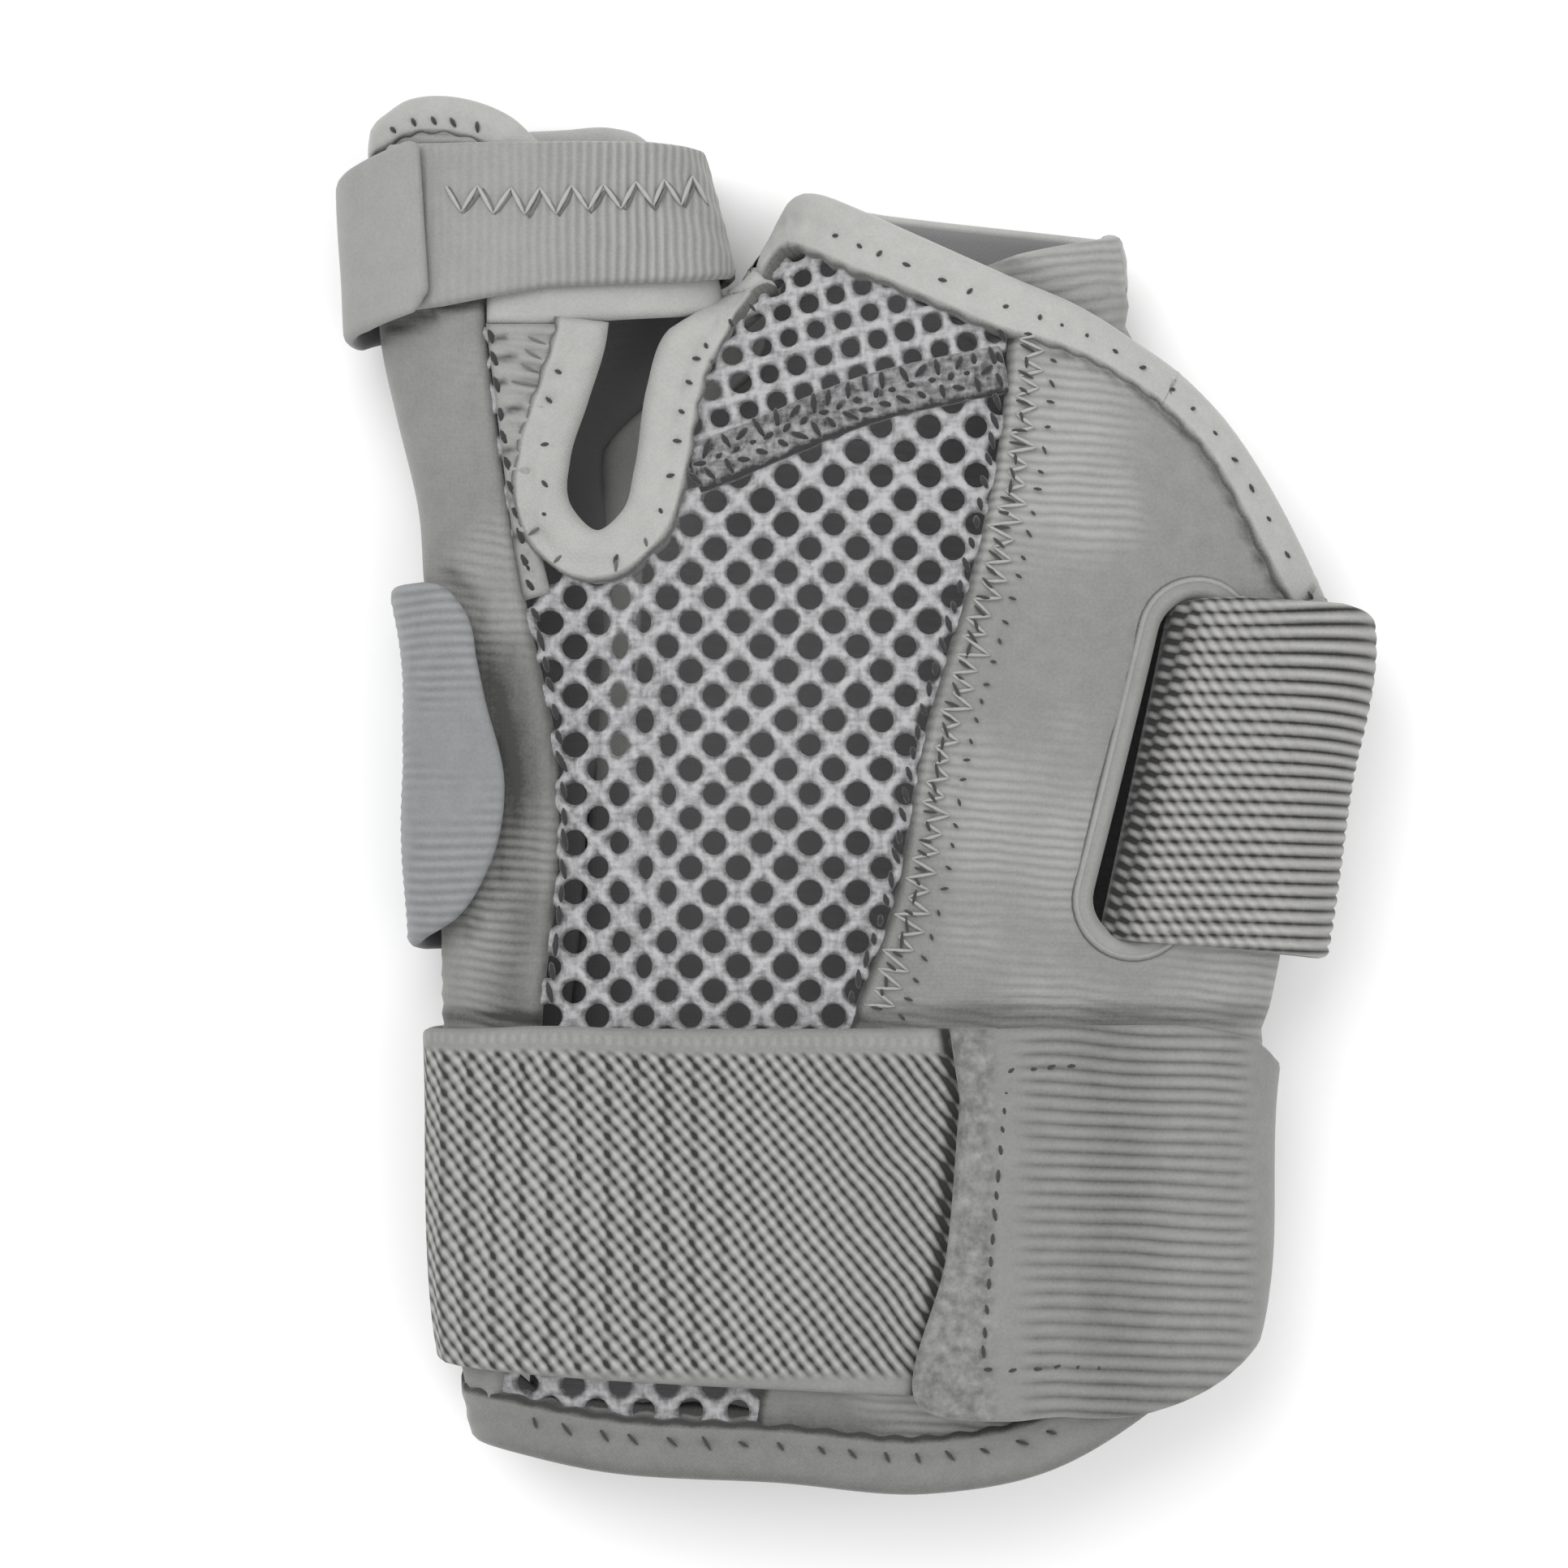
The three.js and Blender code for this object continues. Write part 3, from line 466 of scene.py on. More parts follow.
def bindEdge(name, ring, edge, look, width, low, high, side=1, pucker=None, closed=False, replaces=None,
             rough=0.0, held="folded", restsOn=(), spacing=4.4, seamAt=0.62, inside=0.0, foldShade=0.0,
             taper=0.0):
    # Tape folded over a free edge in (s, y): the loop (inset, offset) is carried along the edge. It is a half
    # circle at the fold, a low crown, and a thin end; pucker pinches it at every stitch, taper narrows its
    # last 14 mm, inside paints shade on the inner face with the lining grey, the fold's number paints shade
    # along the fold, and the thin end gets a painted dark line of shade where it meets the cloth below
    side = side * (sideOf(np.vstack([edge[-2:-1], edge, edge[1:2]]))[1:-1] if closed else sideOf(edge))
    half, middle = (high - low) / 2, (high + low) / 2
    turn = np.linspace(-np.pi / 2, np.pi / 2, 9)
    fold = np.stack([half - half * np.cos(turn), middle + half * np.sin(turn)], 1)
    share = np.linspace(0, 1, 12)[1:-1]
    run = half + (width - half - 0.4) * share
    crown = high + 0.25 * np.sin(np.pi * share)
    top = np.stack([run, crown], 1)
    end = np.array([[width - 0.1, high - 0.15], [width, high - 0.6], [width - 0.1, low + 0.5]])
    bottom = np.stack([run[::-3], np.full(len(run[::-3]), low)], 1)
    loop = np.vstack([fold, top, end, bottom])
    along = lengths(edge)
    u, inset = np.meshgrid(along, loop[:, 0], indexing="ij")
    offset = np.broadcast_to(loop[:, 1], u.shape).copy()
    isOuter = (offset > high - 0.3) & (inset > half * 0.6)
    stitched = seamAt * width
    beat = 0.5 + 0.5 * np.cos(2 * np.pi * u / spacing)
    if pucker:
        offset -= isOuter * pucker * (0.45 + 0.55 * beat) * np.exp(-((inset - stitched) / 0.9) ** 2)
        inset = inset + (inset > width - 0.5) * 0.18 * np.sin(2 * np.pi * u / spacing + 1)
    inset = inset * (1 - taper * smooth(along[-1] - 14, along[-1], u))
    offset = offset + isOuter * rough * wobble(u, inset * 2, 3.1, 3)
    offset = offset + 0.18 * wobble(u, inset, 17, 5)
    if not closed:
        shrink = np.clip(np.minimum(u, along[-1] - u) / 1.2, 0, 1)
        shrink = np.sqrt(1 - (1 - shrink) ** 2) * 0.92 + 0.08
        offset = middle + (offset - middle) * shrink
    s = edge[:, :1] + side[:, :1] * inset
    y = edge[:, 1:] + side[:, 1:] * inset
    points = ring.place(s, y, offset)
    rows, cols = u.shape
    if closed:
        rows -= 1
        points = points[:-1]
        u, inset = u[:-1], inset[:-1]
    faces = [tubeFaces(rows, cols, closed)]
    # the inner face takes the lining grey as painted shade
    inner = inside * np.broadcast_to((loop[:, 1] < middle) & (loop[:, 0] > half * 0.3), u.shape)
    # painted shade: a dark line at the thin end, where the tape meets the cloth below, and along the fold
    paintedShade = 0.9 * (loop[:, 0] > width - 0.3) + foldShade * np.exp(-(loop[:, 0] / 1.3) ** 2)
    paintedShade = np.broadcast_to(paintedShade, u.shape)
    if not closed:
        faces.append(np.arange(cols)[None, ::-1])
        faces.append((rows - 1) * cols + np.arange(cols)[None])
    uv = np.stack([u.ravel(), inset.ravel()], 1)
    piece = addPiece(name, points.reshape(-1, 3), faces, look, uv,
                     {"lining_and_shade": inner.ravel(), "painted_shade": paintedShade.ravel()}, replaces)
    outwards(piece)
    centre = edge + side * width / 2
    real = lengths(ring.place(centre[:, 0], centre[:, 1], np.zeros(len(edge))))[-1] * 1000
    girth = lengths(np.vstack([loop, loop[:1]]))[-1] / 2
    asSheet(piece, girth, real, girth * real)
    print(name, len(faces[0]) * 2)
    return piece


def outwards(piece):
    # Turns a closed shell's faces outwards: its signed volume, the sum of a . (b x c) / 6, is made positive
    mesh = piece.data
    mesh.calc_loop_triangles()
    points = np.zeros(len(mesh.vertices) * 3)
    mesh.vertices.foreach_get("co", points)
    points = points.reshape(-1, 3)
    corners = np.zeros(len(mesh.loop_triangles) * 3, np.int32)
    mesh.loop_triangles.foreach_get("vertices", corners)
    a, b, c = points[corners.reshape(-1, 3)].transpose(1, 0, 2)
    if (a * np.cross(b, c)).sum() < 0:
        mesh.flip_normals()


def ribbon(name, ring, s, y, look, low, high, relief=None, lift=None, replaces=None,
           marks=None):
    # Strap on the grid of points s, y, both rows by columns: faces at low and high, thinned to round edges;
    # relief raises the outer face
    alongCol = np.abs(np.linspace(0, 1, s.shape[0])[:, None] * 2 - 1)
    alongRow = np.abs(np.linspace(0, 1, s.shape[1])[None] * 2 - 1)
    place = ring.place(s, y, np.zeros_like(s))
    width = np.linalg.norm(np.diff(place, axis=0), axis=2).sum(0).mean() * 1000
    length = np.linalg.norm(np.diff(place, axis=1), axis=2).sum(1).mean() * 1000
    depth = np.minimum((1 - alongCol) * width / 2, (1 - alongRow) * length / 2)
    half = (high - low) / 2 * np.sqrt(1 - (1 - np.clip(depth / 0.9, 0, 1)) ** 2)
    middle = (high + low) / 2 + (0 if lift is None else lift(s, y))
    bump = 0 if relief is None else relief(s, y) * np.clip(depth / 0.9, 0, 1)
    outer = ring.place(s, y, middle + half + bump)
    under = ring.place(s, y, middle - half)
    rows, cols = s.shape
    index = np.arange(rows * cols).reshape(rows, cols)
    quads = np.stack([index[:-1, :-1], index[:-1, 1:], index[1:, 1:], index[1:, :-1]], 2).reshape(-1, 4)
    second = index + rows * cols
    second[0], second[-1], second[:, 0], second[:, -1] = index[0], index[-1], index[:, 0], index[:, -1]
    lower = second.ravel()[quads[:, ::-1]]
    points = np.vstack([outer.reshape(-1, 3), under.reshape(-1, 3)])
    uv = np.tile(np.stack([s.ravel(), y.ravel()], 1), (2, 1))
    used = np.unique(np.concatenate([quads.ravel(), lower.ravel()]))
    renumber = np.zeros(len(points), int)
    renumber[used] = np.arange(len(used))
    extra = {
        key: np.tile(np.broadcast_to(value, s.shape).ravel(), 2)[used] for key, value in (marks or {}).items()
    }
    lining_and_shade = np.repeat([0.0, 1.0], rows * cols)[used]
    piece = addPiece(name, points[used], renumber[np.vstack([quads, lower])], look, uv[used],
                     {"lining_and_shade": lining_and_shade, **extra}, replaces)
    outwards(piece)
    asSheet(piece, width, length)
    print(name, len(quads) * 4)
    return piece


def strokes(name, starts, ends, radius, look, bulge=0.25, thread_and_shade=1.0):
    # Stitches as six-sided spindles from starts to ends: the radius is r * sin(pi t)^0.5 and the middle is
    # raised by bulge of the length, upwards
    count = len(starts)
    share = np.array([0.0, 0.18, 0.5, 0.82, 1.0])
    turn = np.arange(6) / 6 * 2 * np.pi
    way = ends - starts
    length = np.linalg.norm(way, axis=1, keepdims=True) + 1e-9
    way = way / length
    up = np.tile([0.0, 0.0, 1.0], (count, 1))
    across = np.cross(way, up)
    across /= np.linalg.norm(across, axis=1, keepdims=True) + 1e-9
    up = np.cross(across, way)
    size = radius / 1000 * np.sqrt(np.sin(np.pi * np.clip(share, 0.03, 0.97)))
    raised = bulge * np.sin(np.pi * share)
    centre = starts[:, None] + (ends - starts)[:, None] * share[None, :, None]
    centre = centre + up[:, None] * (raised[None, :] * length)[..., None]
    cosines, sines = [part[None, None, :, None] for part in (np.cos(turn), np.sin(turn))]
    circle = across[:, None, None] * cosines + up[:, None, None] * sines
    points = centre[:, :, None] + circle * size[None, :, None, None]
    local = tubeFaces(5, 6)
    caps = np.stack([np.arange(6)[::-1], 24 + np.arange(6)])
    base = np.arange(count)[:, None, None] * 30
    quads = (local[None] + base).reshape(-1, 4)
    ends = (caps[None] + base).reshape(-1, 6)
    piece = addPiece(name, points.reshape(-1, 3), [quads, ends], look,
                     np.zeros((count * 30, 2)), {"thread_and_shade": thread_and_shade, "lining_and_shade": 0.0})
    print(name, count)
    return piece


def ticks(name, ring, edge, inset, offset, look, spacing=4.4, length=1.7, slant=35, radius=0.32, skip=0.0,
          side=1, spread=12, bulge=0.25, thread_and_shade=1.0):
    # Short stitches beside an edge in (s, y), at even steps along it, turned by slant give or take spread
    # degrees; the thread number sets how dark they are: the thread's own colour with painted shade of the
    # stitch holes
    edge = curve(edge, 0.5, smoothed=False)
    along = lengths(edge)
    at = np.arange(skip + spacing / 2, along[-1] - 1, spacing)
    at = at + rng.uniform(-0.12, 0.12, len(at)) * spacing
    side = sideOf(edge) * side
    middle = np.stack([np.interp(at, along, edge[:, k] + side[:, k] * inset) for k in (0, 1)], 1)
    across = np.stack([np.interp(at, along, side[:, k]) for k in (0, 1)], 1)
    way = np.stack([across[:, 1], -across[:, 0]], 1)
    angle = np.radians(slant + rng.uniform(-spread, spread, len(at)))[:, None]
    reach = length / 2 * rng.uniform(0.7, 1.15, (len(at), 1))
    span = (way * np.cos(angle) + across * np.sin(angle)) * reach
    low, high = middle - span, middle + span
    height = offset(middle[:, 0]) if callable(offset) else np.full(len(at), offset)
    starts, ends = ring.place(low[:, 0], low[:, 1], height), ring.place(high[:, 0], high[:, 1], height)
    return strokes(name, starts, ends, radius, look, bulge, thread_and_shade)


def zigzag(name, ring, edge, inner, outer, offset, look, step=1.9, radius=0.28, side=1, thread_and_shade=0.35,
           uneven=0.25):
    # Thread that runs to and fro between two distances beside an edge
    edge = curve(edge, 0.5, smoothed=False)
    along = lengths(edge)
    at = np.arange(0.5, along[-1] - 0.5, step)
    at = at + rng.uniform(-0.15, 0.15, len(at))
    side = sideOf(edge) * side
    reach = np.where(np.arange(len(at)) % 2, inner, outer) + rng.uniform(-uneven, uneven, len(at))
    points = np.stack([
        np.interp(at, along, edge[:, k]) + np.interp(at, along, side[:, k]) * reach for k in (0, 1)
    ], 1)
    place = ring.place(points[:, 0], points[:, 1], np.full(len(points), offset))
    return strokes(name, place[:-1], place[1:], radius, look, bulge=0.05, thread_and_shade=thread_and_shade)


# Finishes

class Value:
    # A node socket; sums and products on it add Math nodes
    def __init__(self, shader, socket):
        self.shader = shader
        self.socket = socket

    def math(self, operation, *others):
        sockets = {index + 1: other for index, other in enumerate(others)}
        return self.shader.node("ShaderNodeMath", {"operation": operation}, {0: self, **sockets})

    def __add__(self, other):
        return self.math("ADD", other)

    def __mul__(self, other):
        return self.math("MULTIPLY", other)

    def __sub__(self, other):
        return self.math("SUBTRACT", other)

    def __rsub__(self, other):
        return self.math("MULTIPLY_ADD", -1.0, other)

    def __pow__(self, other):
        return self.math("POWER", other)

    __radd__ = __add__
    __rmul__ = __mul__

    def wave(self, length, phase=0.0):
        # 0.5 + 0.5 sin(2 pi x / length + phase)
        return (self * (2 * np.pi / length) + phase).math("SINE") * 0.5 + 0.5

    def between(self, low, high):
        # Smooth step from low to high
        settings = {"interpolation_type": "SMOOTHSTEP"}
        return self.shader.node("ShaderNodeMapRange", settings, {0: self, 1: low, 2: high, 3: 0.0, 4: 1.0})


class Shader:
    # One material; node() adds a node of a type, with its settings and then its sockets' values or links
    def __init__(self, name):
        self.material = bpy.data.materials.new(name)
        self.material.use_nodes = True
        self.tree = self.material.node_tree
        self.surface = self.tree.nodes["Principled BSDF"]

    def connect(self, node, sockets):
        for key, value in sockets.items():
            if isinstance(value, Value):
                self.tree.links.new(value.socket, node.inputs[key])
            else:
                node.inputs[key].default_value = value

    def node(self, kind, settings=None, sockets=None, out=0):
        made = self.tree.nodes.new(kind)
        for key, value in (settings or {}).items():
            setattr(made, key, value)
        self.connect(made, sockets or {})
        return Value(self, made.outputs[out])

    def mark(self, name):
        return self.node("ShaderNodeAttribute", {"attribute_name": name}, out="Fac")

    def noise(self, scale, detail=2.0, stretch=(1.0, 1.0, 1.0)):
        # Noise on Object coordinates, scale in waves per mm
        place = self.node("ShaderNodeTexCoord", out="Object")
        turned = self.node("ShaderNodeMapping", None, {"Vector": place, "Scale": stretch})
        sockets = {"Vector": turned, "Scale": scale * 1000, "Detail": detail}
        return self.node("ShaderNodeTexNoise", None, sockets)

    def along(self):
        # The piece's own (s, y) in mm
        cloth = self.node("ShaderNodeUVMap", {"uv_map": "cloth"})
        parts = self.tree.nodes.new("ShaderNodeSeparateXYZ")
        self.connect(parts, {0: cloth})
        return Value(self, parts.outputs[0]) * 100.0, Value(self, parts.outputs[1]) * 100.0


# A pattern gives the height of its relief and what it adds to the tone; in the tone the grooves of ribs, rows
# and beads get painted shade

def plainPattern(shader, u, v):
    return 0.0, 0.0


def panelPattern(shader, u, v):
    # Fine ribs along x that come and go, on a close knit
    where = shader.noise(0.035).between(0.42, 0.62)
    ribs = (v + u * 0.1 + shader.noise(0.08) * 2.4).wave(1.3) ** 0.7
    knit = u.wave(0.5) * v.wave(0.5)
    return ribs * where * 0.5 + knit * 0.16, ribs * where * 0.26 - 0.16


def tapePattern(shader, u, v):
    knit = (u + v).wave(0.55) * (u - v).wave(0.55)
    return knit * 0.25, knit * 0.05


def netPattern(shader, u, v):
    # Loose yarns: stretched noise both ways, with painted shade at the rim of every hole
    yarn = shader.noise(1.4, 3.0, (1.0, 0.35, 1.0)) + shader.noise(1.4, 3.0, (0.35, 1.0, 1.0))
    rim = shader.mark("rimmed").between(0.0, 0.75)
    return yarn * 0.9, yarn * 1.1 - 1.1 + rim * 0.46 - 0.32


def twillPattern(shader, u, v):
    # Beads in slanting rows, running together to the right, between two plain selvedges
    bent = shader.noise(0.12) * 0.9
    row = (u * 0.78 + v * 0.62 + bent).wave(1.38)
    bead = (u * 0.62 - v * 0.78 + bent).wave(1.62) * (1.0 - u.between(-14.0, 6.0) * 0.7)
    wale = (u.wave(3.4) ** 5.0) * (1.0 - u.between(-24.0, -4.0))
    inner = v.between(-70.5, -68.6) * (1.0 - v.between(-31.8, -30.6))
    height = (row * 0.75 + row * bead * 0.45) * inner
    shadeOfIt = (row ** 0.7 - 0.66) * 0.85 + bead * 0.36 - 0.1 - wale * 0.3
    edge = (1.0 - (v + 29.6).math("ABSOLUTE").between(0.2, 0.9)) * u.wave(1.3) * 0.12
    return height * 1.6, shadeOfIt * inner + edge


def ribPattern(shader, u, v):
    # Ribs along the strap, split into beads near the slot
    rib = v.wave(1.6, 1.57)
    left = 1.0 - u.between(40.0, 54.0)
    bead = (u * 0.9 + v * 0.6 + shader.noise(0.3) * 0.4).wave(1.35) * left
    thin = rib ** 0.55
    return rib * 0.7 + bead * 0.3, (thin - 0.68) * (0.95 - left * 0.3) + (bead - left * 0.5) * 0.44 - 0.09


def finePattern(shader, u, v):
    # Fine ribs across the strap, stronger to the right
    rib = (u + shader.noise(0.1) * 0.8).wave(1.15)
    strength = u.between(-46.0, -26.0) * 0.7 + 0.2
    return rib * strength * 0.6, (rib - 0.6) * strength * 0.32


def hookPattern(shader, u, v):
    # Fine ribs across a hook tab, right of its sewn end
    rib = (v + u * 0.06 + shader.noise(0.05) * 1.2).wave(1.7) ** 0.5
    where = u.between(17.5, 22.0) * (1.0 - u.between(45.0, 49.0)) * (shader.noise(0.08) + 0.4)
    sewn = (1.0 - u.between(15.0, 17.0)) * (shader.noise(0.7, 4.0) - 0.56) * 1.1
    shadow = u.between(22.0, 30.0) * (1.0 - u.between(31.0, 40.0)) * 0.12
    return rib * where * 0.5, (rib - 0.72) * where * 0.42 + sewn - shadow


def ovalPattern(shader, u, v):
    rib = (v + shader.noise(0.06) * 1.0).wave(1.35)
    where = shader.noise(0.06).between(0.35, 0.55)
    return rib * where * 0.4, (rib - 0.6) * where * 0.24 - 0.03


# name: pattern, darkest and lightest linear grey, mean tone, depth of the relief in mm, sheen
finishes = {
    "panel": (panelPattern, 0.045, 0.365, 0.66, 0.35, 0.25),
    "panel_thumb": (panelPattern, 0.045, 0.345, 0.68, 0.30, 0.25),
    "tape": (tapePattern, 0.045, 0.42, 0.76, 0.22, 0.3),
    "tape_wrist": (tapePattern, 0.045, 0.34, 0.44, 0.30, 0.3),
    "net": (netPattern, 0.035, 0.38, 0.70, 0.55, 0.3),
    "rim": (plainPattern, 0.045, 0.36, 0.70, 0.20, 0.3),
    "elastic_wrist": (twillPattern, 0.025, 0.36, 0.58, 0.42, 0.15),
    "elastic_palm": (ribPattern, 0.022, 0.39, 0.64, 0.40, 0.15),
    "elastic_thumb": (finePattern, 0.045, 0.345, 0.68, 0.30, 0.25),
    "hook_wrist": (hookPattern, 0.045, 0.335, 0.52, 0.35, 0.2),
    "hook_palm": (ovalPattern, 0.045, 0.33, 0.66, 0.30, 0.2),
    "hook_thumb": (plainPattern, 0.045, 0.345, 0.70, 0.25, 0.2),
}
tints = {"net": (1.0, 0.985, 1.01), "hook_palm": (0.97, 1.0, 1.02), "elastic_palm": (1.01, 1.0, 0.97)}
# Dark grey of the lining on inner faces, which also paints shade on the inner face of tapes
liningAndShadeGrey = (0.170, 0.168, 0.172, 1)


def finish(name, pattern, dark, light, tone, relief, sheen):
    # Tone runs from the darkest grey to the lightest: mean + pattern, whose grooves hold painted shade, +
    # stains + fluff + rubbed places + wear, less the stitches' darkness and the painted shade marks
    shader = Shader(name)
    u, v = shader.along()
    height, drawn = pattern(shader, u, v)
    stains = (shader.noise(0.02) - 0.5) * 0.34
    fluff = (shader.noise(2.6, 3.0) - 0.5) * 0.22
    rubbed = shader.noise(0.07, 4.0).between(0.62, 0.78) * 0.05
    worn = (shader.noise(0.4, 4.0) - 0.5) * 0.16
    # stitches darken by their thread and painted shade of the stitch holes; the painted shade marks darken
    # overlaps
    marked = shader.mark("thread_and_shade") * 0.85 + shader.mark("painted_shade") * 0.7
    mean = stains + fluff + rubbed + worn + tone + drawn - marked
    clamped = mean.math("MAXIMUM", 0.0).math("MINIMUM", 1.0)
    tint = tints.get(name, (1.0, 1.0, 0.965))
    low = tuple(dark * part for part in tint) + (1,)
    high = tuple(light * part for part in tint) + (1,)
    cloth = shader.node("ShaderNodeMix", {"data_type": "RGBA"}, {0: clamped, 6: low, 7: high}, 2)
    # inner faces take the lining grey, which on tapes is painted shade
    faced = shader.node("ShaderNodeMix", {"data_type": "RGBA"}, {
        0: shader.mark("lining_and_shade"), 6: cloth, 7: liningAndShadeGrey,
    }, 2)
    grain = height * 0.6 + shader.noise(3.2, 2.0) * 0.22 + shader.noise(0.5, 2.0) * 0.3
    normal = shader.node("ShaderNodeBump", None, {
        "Height": grain, "Strength": 0.75, "Distance": relief / 1000,
    })
    shader.connect(shader.surface, {
        "Base Color": faced, "Normal": normal, "Roughness": fluff * 0.3 + 0.86, "Sheen Weight": sheen,
        "Sheen Roughness": 0.45, "Specular IOR Level": 0.22,
    })
    return shader.material


materials = {name: finish(name, *values) for name, values in finishes.items()}
print("finishes done")


# Stage

view = {"x": -8.73, "y": 1.09, "z": 15, "height": 760, "frame": 193.2}
floorMesh = bpy.data.meshes.new("floor")
floorMesh.from_pydata([(-2, -2, 0), (2, -2, 0), (2, 2, 0), (-2, 2, 0)], [], [(0, 1, 2, 3)])
floor = bpy.data.objects.new("floor", floorMesh)
bpy.context.scene.collection.objects.link(floor)
paper = Shader("paper")
paper.connect(paper.surface, {"Base Color": (0.93, 0.93, 0.93, 1), "Roughness": 0.9})
floorMesh.materials.append(paper.material)
camera = bpy.data.objects.new("camera", bpy.data.cameras.new("camera"))
bpy.context.scene.collection.objects.link(camera)
camera.location = (view["x"] / 1000, view["y"] / 1000, (view["z"] + view["height"]) / 1000)
camera.data.sensor_width = 36
camera.data.lens = 36 * view["height"] / view["frame"]
camera.data.clip_start = 0.05
bpy.context.scene.camera = camera
lamps = [  # name, place in m, side in m, watts
    ("keyLamp", (-0.45, 0.6, 1.2), 1.0, 11.0),
    ("fillLamp", (0.7, -0.3, 1.3), 1.2, 7.0),
]
for name, place, side, watts in lamps:
    data = bpy.data.lights.new(name, "AREA")
    data.size = side
    data.energy = watts
    lamp = bpy.data.objects.new(name, data)
    lamp.location = place
    lamp.rotation_euler = (-Vector(place)).to_track_quat("-Z", "Y").to_euler()
    bpy.context.scene.collection.objects.link(lamp)
bpy.context.scene.view_settings.view_transform = "Standard"
world = bpy.data.worlds.new("studio")
bpy.context.scene.world = world
world.use_nodes = True
world.node_tree.nodes["Background"].inputs[0].default_value = (1, 1, 1, 1)
world.node_tree.nodes["Background"].inputs[1].default_value = 0.8
print("stage done")


# Seams and free edges in plan

edges = {
    "finger": [(-14, 77.2), (-6, 74.2), (8, 68.2), (19, 63.4), (31, 58.2), (44.5, 47.1), (54, 31.8),
               (57.9, 22.2), (62, 8)],
    "dorsalTop": [(-11, 72.6), (-5, 73.4), (4, 72.2), (29, 69.4), (36, 68.6)],
    "hem": [(-46.5, -80), (-30, -82.8), (-10, -83.8), (9, -85.2), (25, -82), (37.5, -74.4), (44, -68.5)],
    "web": [(-30.1, 57.6), (-30.4, 55.5), (-32.7, 47.8), (-34.9, 40.8), (-34.9, 34.9), (-32, 32.2),
            (-28.5, 34.9), (-27.1, 39.6), (-25.4, 49.5), (-23.1, 56.2), (-20, 59.3), (-12, 65)],
    "gutter": [(-45.6, 57.1), (-43.1, 38), (-40.3, 23.1), (-36.9, 4.3), (-36.5, -4.1), (-38.6, -26.8),
               (-43.3, -71.3), (-44.2, -79)],
    "net": [(18.6, 57), (17.8, 47), (15.3, 32.9), (7.9, 6.5), (3.9, -14.4), (-0.6, -26.8), (-11.6, -72.2),
            (-13.4, -81)],
    "ruffle": [(-27, 37), (-17.2, 40.7), (2, 48.4), (18.2, 52)],
}
lines = {name: curve(points, 0.6) for name, points in edges.items()}


def along(ring, name, way="near"):
    return ring.flat(lines[name], way)


def sideLine(ring, side, past, ys):
    # Line up a side of the body, past its silhouette
    ys = np.array(ys, float)
    return np.stack([ring.sideAt(ys, side) + past, ys], 1)


# Wrist hem, all the way round

def hemPath():
    front = along(hand, "hem")
    backLeft = hand.flat([(0, -84.5), (-10, -83.8), (-30, -82.6), (-42, -80.6)], "byLeft")
    backRight = hand.flat([(43, -69), (37.5, -74.4), (25, -82), (9, -85.2), (0, -84.5)], "byRight")
    left = sideLine(hand, 0, -9, [-79.6])
    right = sideLine(hand, 1, 9, [-64.5])
    return curve(np.vstack([backLeft, left, front, right, backRight]), 0.8)


# the fold's number paints shade along the hem's fold
wristHem = {"width": 7.5, "low": -3.4, "high": 0.5, "pucker": 0.5, "rough": 0.1, "foldShade": 0.3}
hem = hemPath()
bindEdge("wrist_binding", hand, hem, "tape_wrist", replaces="wrist_binding", restsOn=["radial_gutter"],
         **wristHem)


# Gutter along the thumb side, and its tongue over the thumb

gutter = {
    "low": -3, "high": 0, "pitch": (1.3, 1.2),
    "seamRise": 0.55, "foldRise": 0.5, "creaseRise": 0.14, "waves": 0.2,
}


def gutterOutline():
    seamUp = along(thumb, "gutter")[::-1]
    step = thumb.flat([(-45.6, 57.2), (-45.6, 74), (-36, 74), (-27, 74)])
    rightSide = sideLine(thumb, 1, 6, [74, 77])
    top = thumb.flat([(-27, 77.5), (-36, 77.5), (-40, 79.5), (-43.5, 81.3), (-47.5, 82.8), (-52, 83.4),
                      (-55, 83.1), (-57.2, 82)])
    left = sideLine(thumb, 0, -4, [80.6])
    backTop = thumb.flat([(-56, 81), (-46.5, 80.6), (-36.5, 80.9), (-30.5, 81.1), (-26.6, 80)], "byLeft")
    backEdge = thumb.flat([(-24.4, 76), (-21.5, 66), (-19.8, 58.6), (-25.4, 49.5), (-31.5, 42.7), (-31.7, 38),
                           (-33, 0), (-36, -30), (-42, -78)], "byLeft")
    low = np.vstack([thumb.flat([(-45, -77.5)], "byLeft"), sideLine(thumb, 0, -6, [-77]),
                     thumb.flat([(-47.5, -77), (-44.2, -78)])])
    return np.vstack([seamUp, step, rightSide, top, left, backTop, backEdge, low])


def gutterRelief(s, y):
    # Raised line beside the net, a soft fold from the half oval to the wrist strap, small creases
    seamGap = distanceTo(np.stack([s, y], 1), along(thumb, "gutter"))[0]
    raised = gutter["seamRise"] * np.exp(-((seamGap - 1.3) / 0.8) ** 2)
    fold = gutter["foldRise"] * np.exp(-((s + 45 + 0.05 * (y + 10)) / 1.6) ** 2)
    fold = fold * smooth(-30, -22, y) * (1 - smooth(-20, 10, y))
    crease = gutter["creaseRise"] * np.sin(y * 2.4 + s * 0.4) * smooth(-64, -52, s)
    crease = crease * smooth(-55, -28, y) * (1 - smooth(-22, -12, y))
    return raised + fold + crease + gutter["waves"] * wobble(s, y, 24, 11)


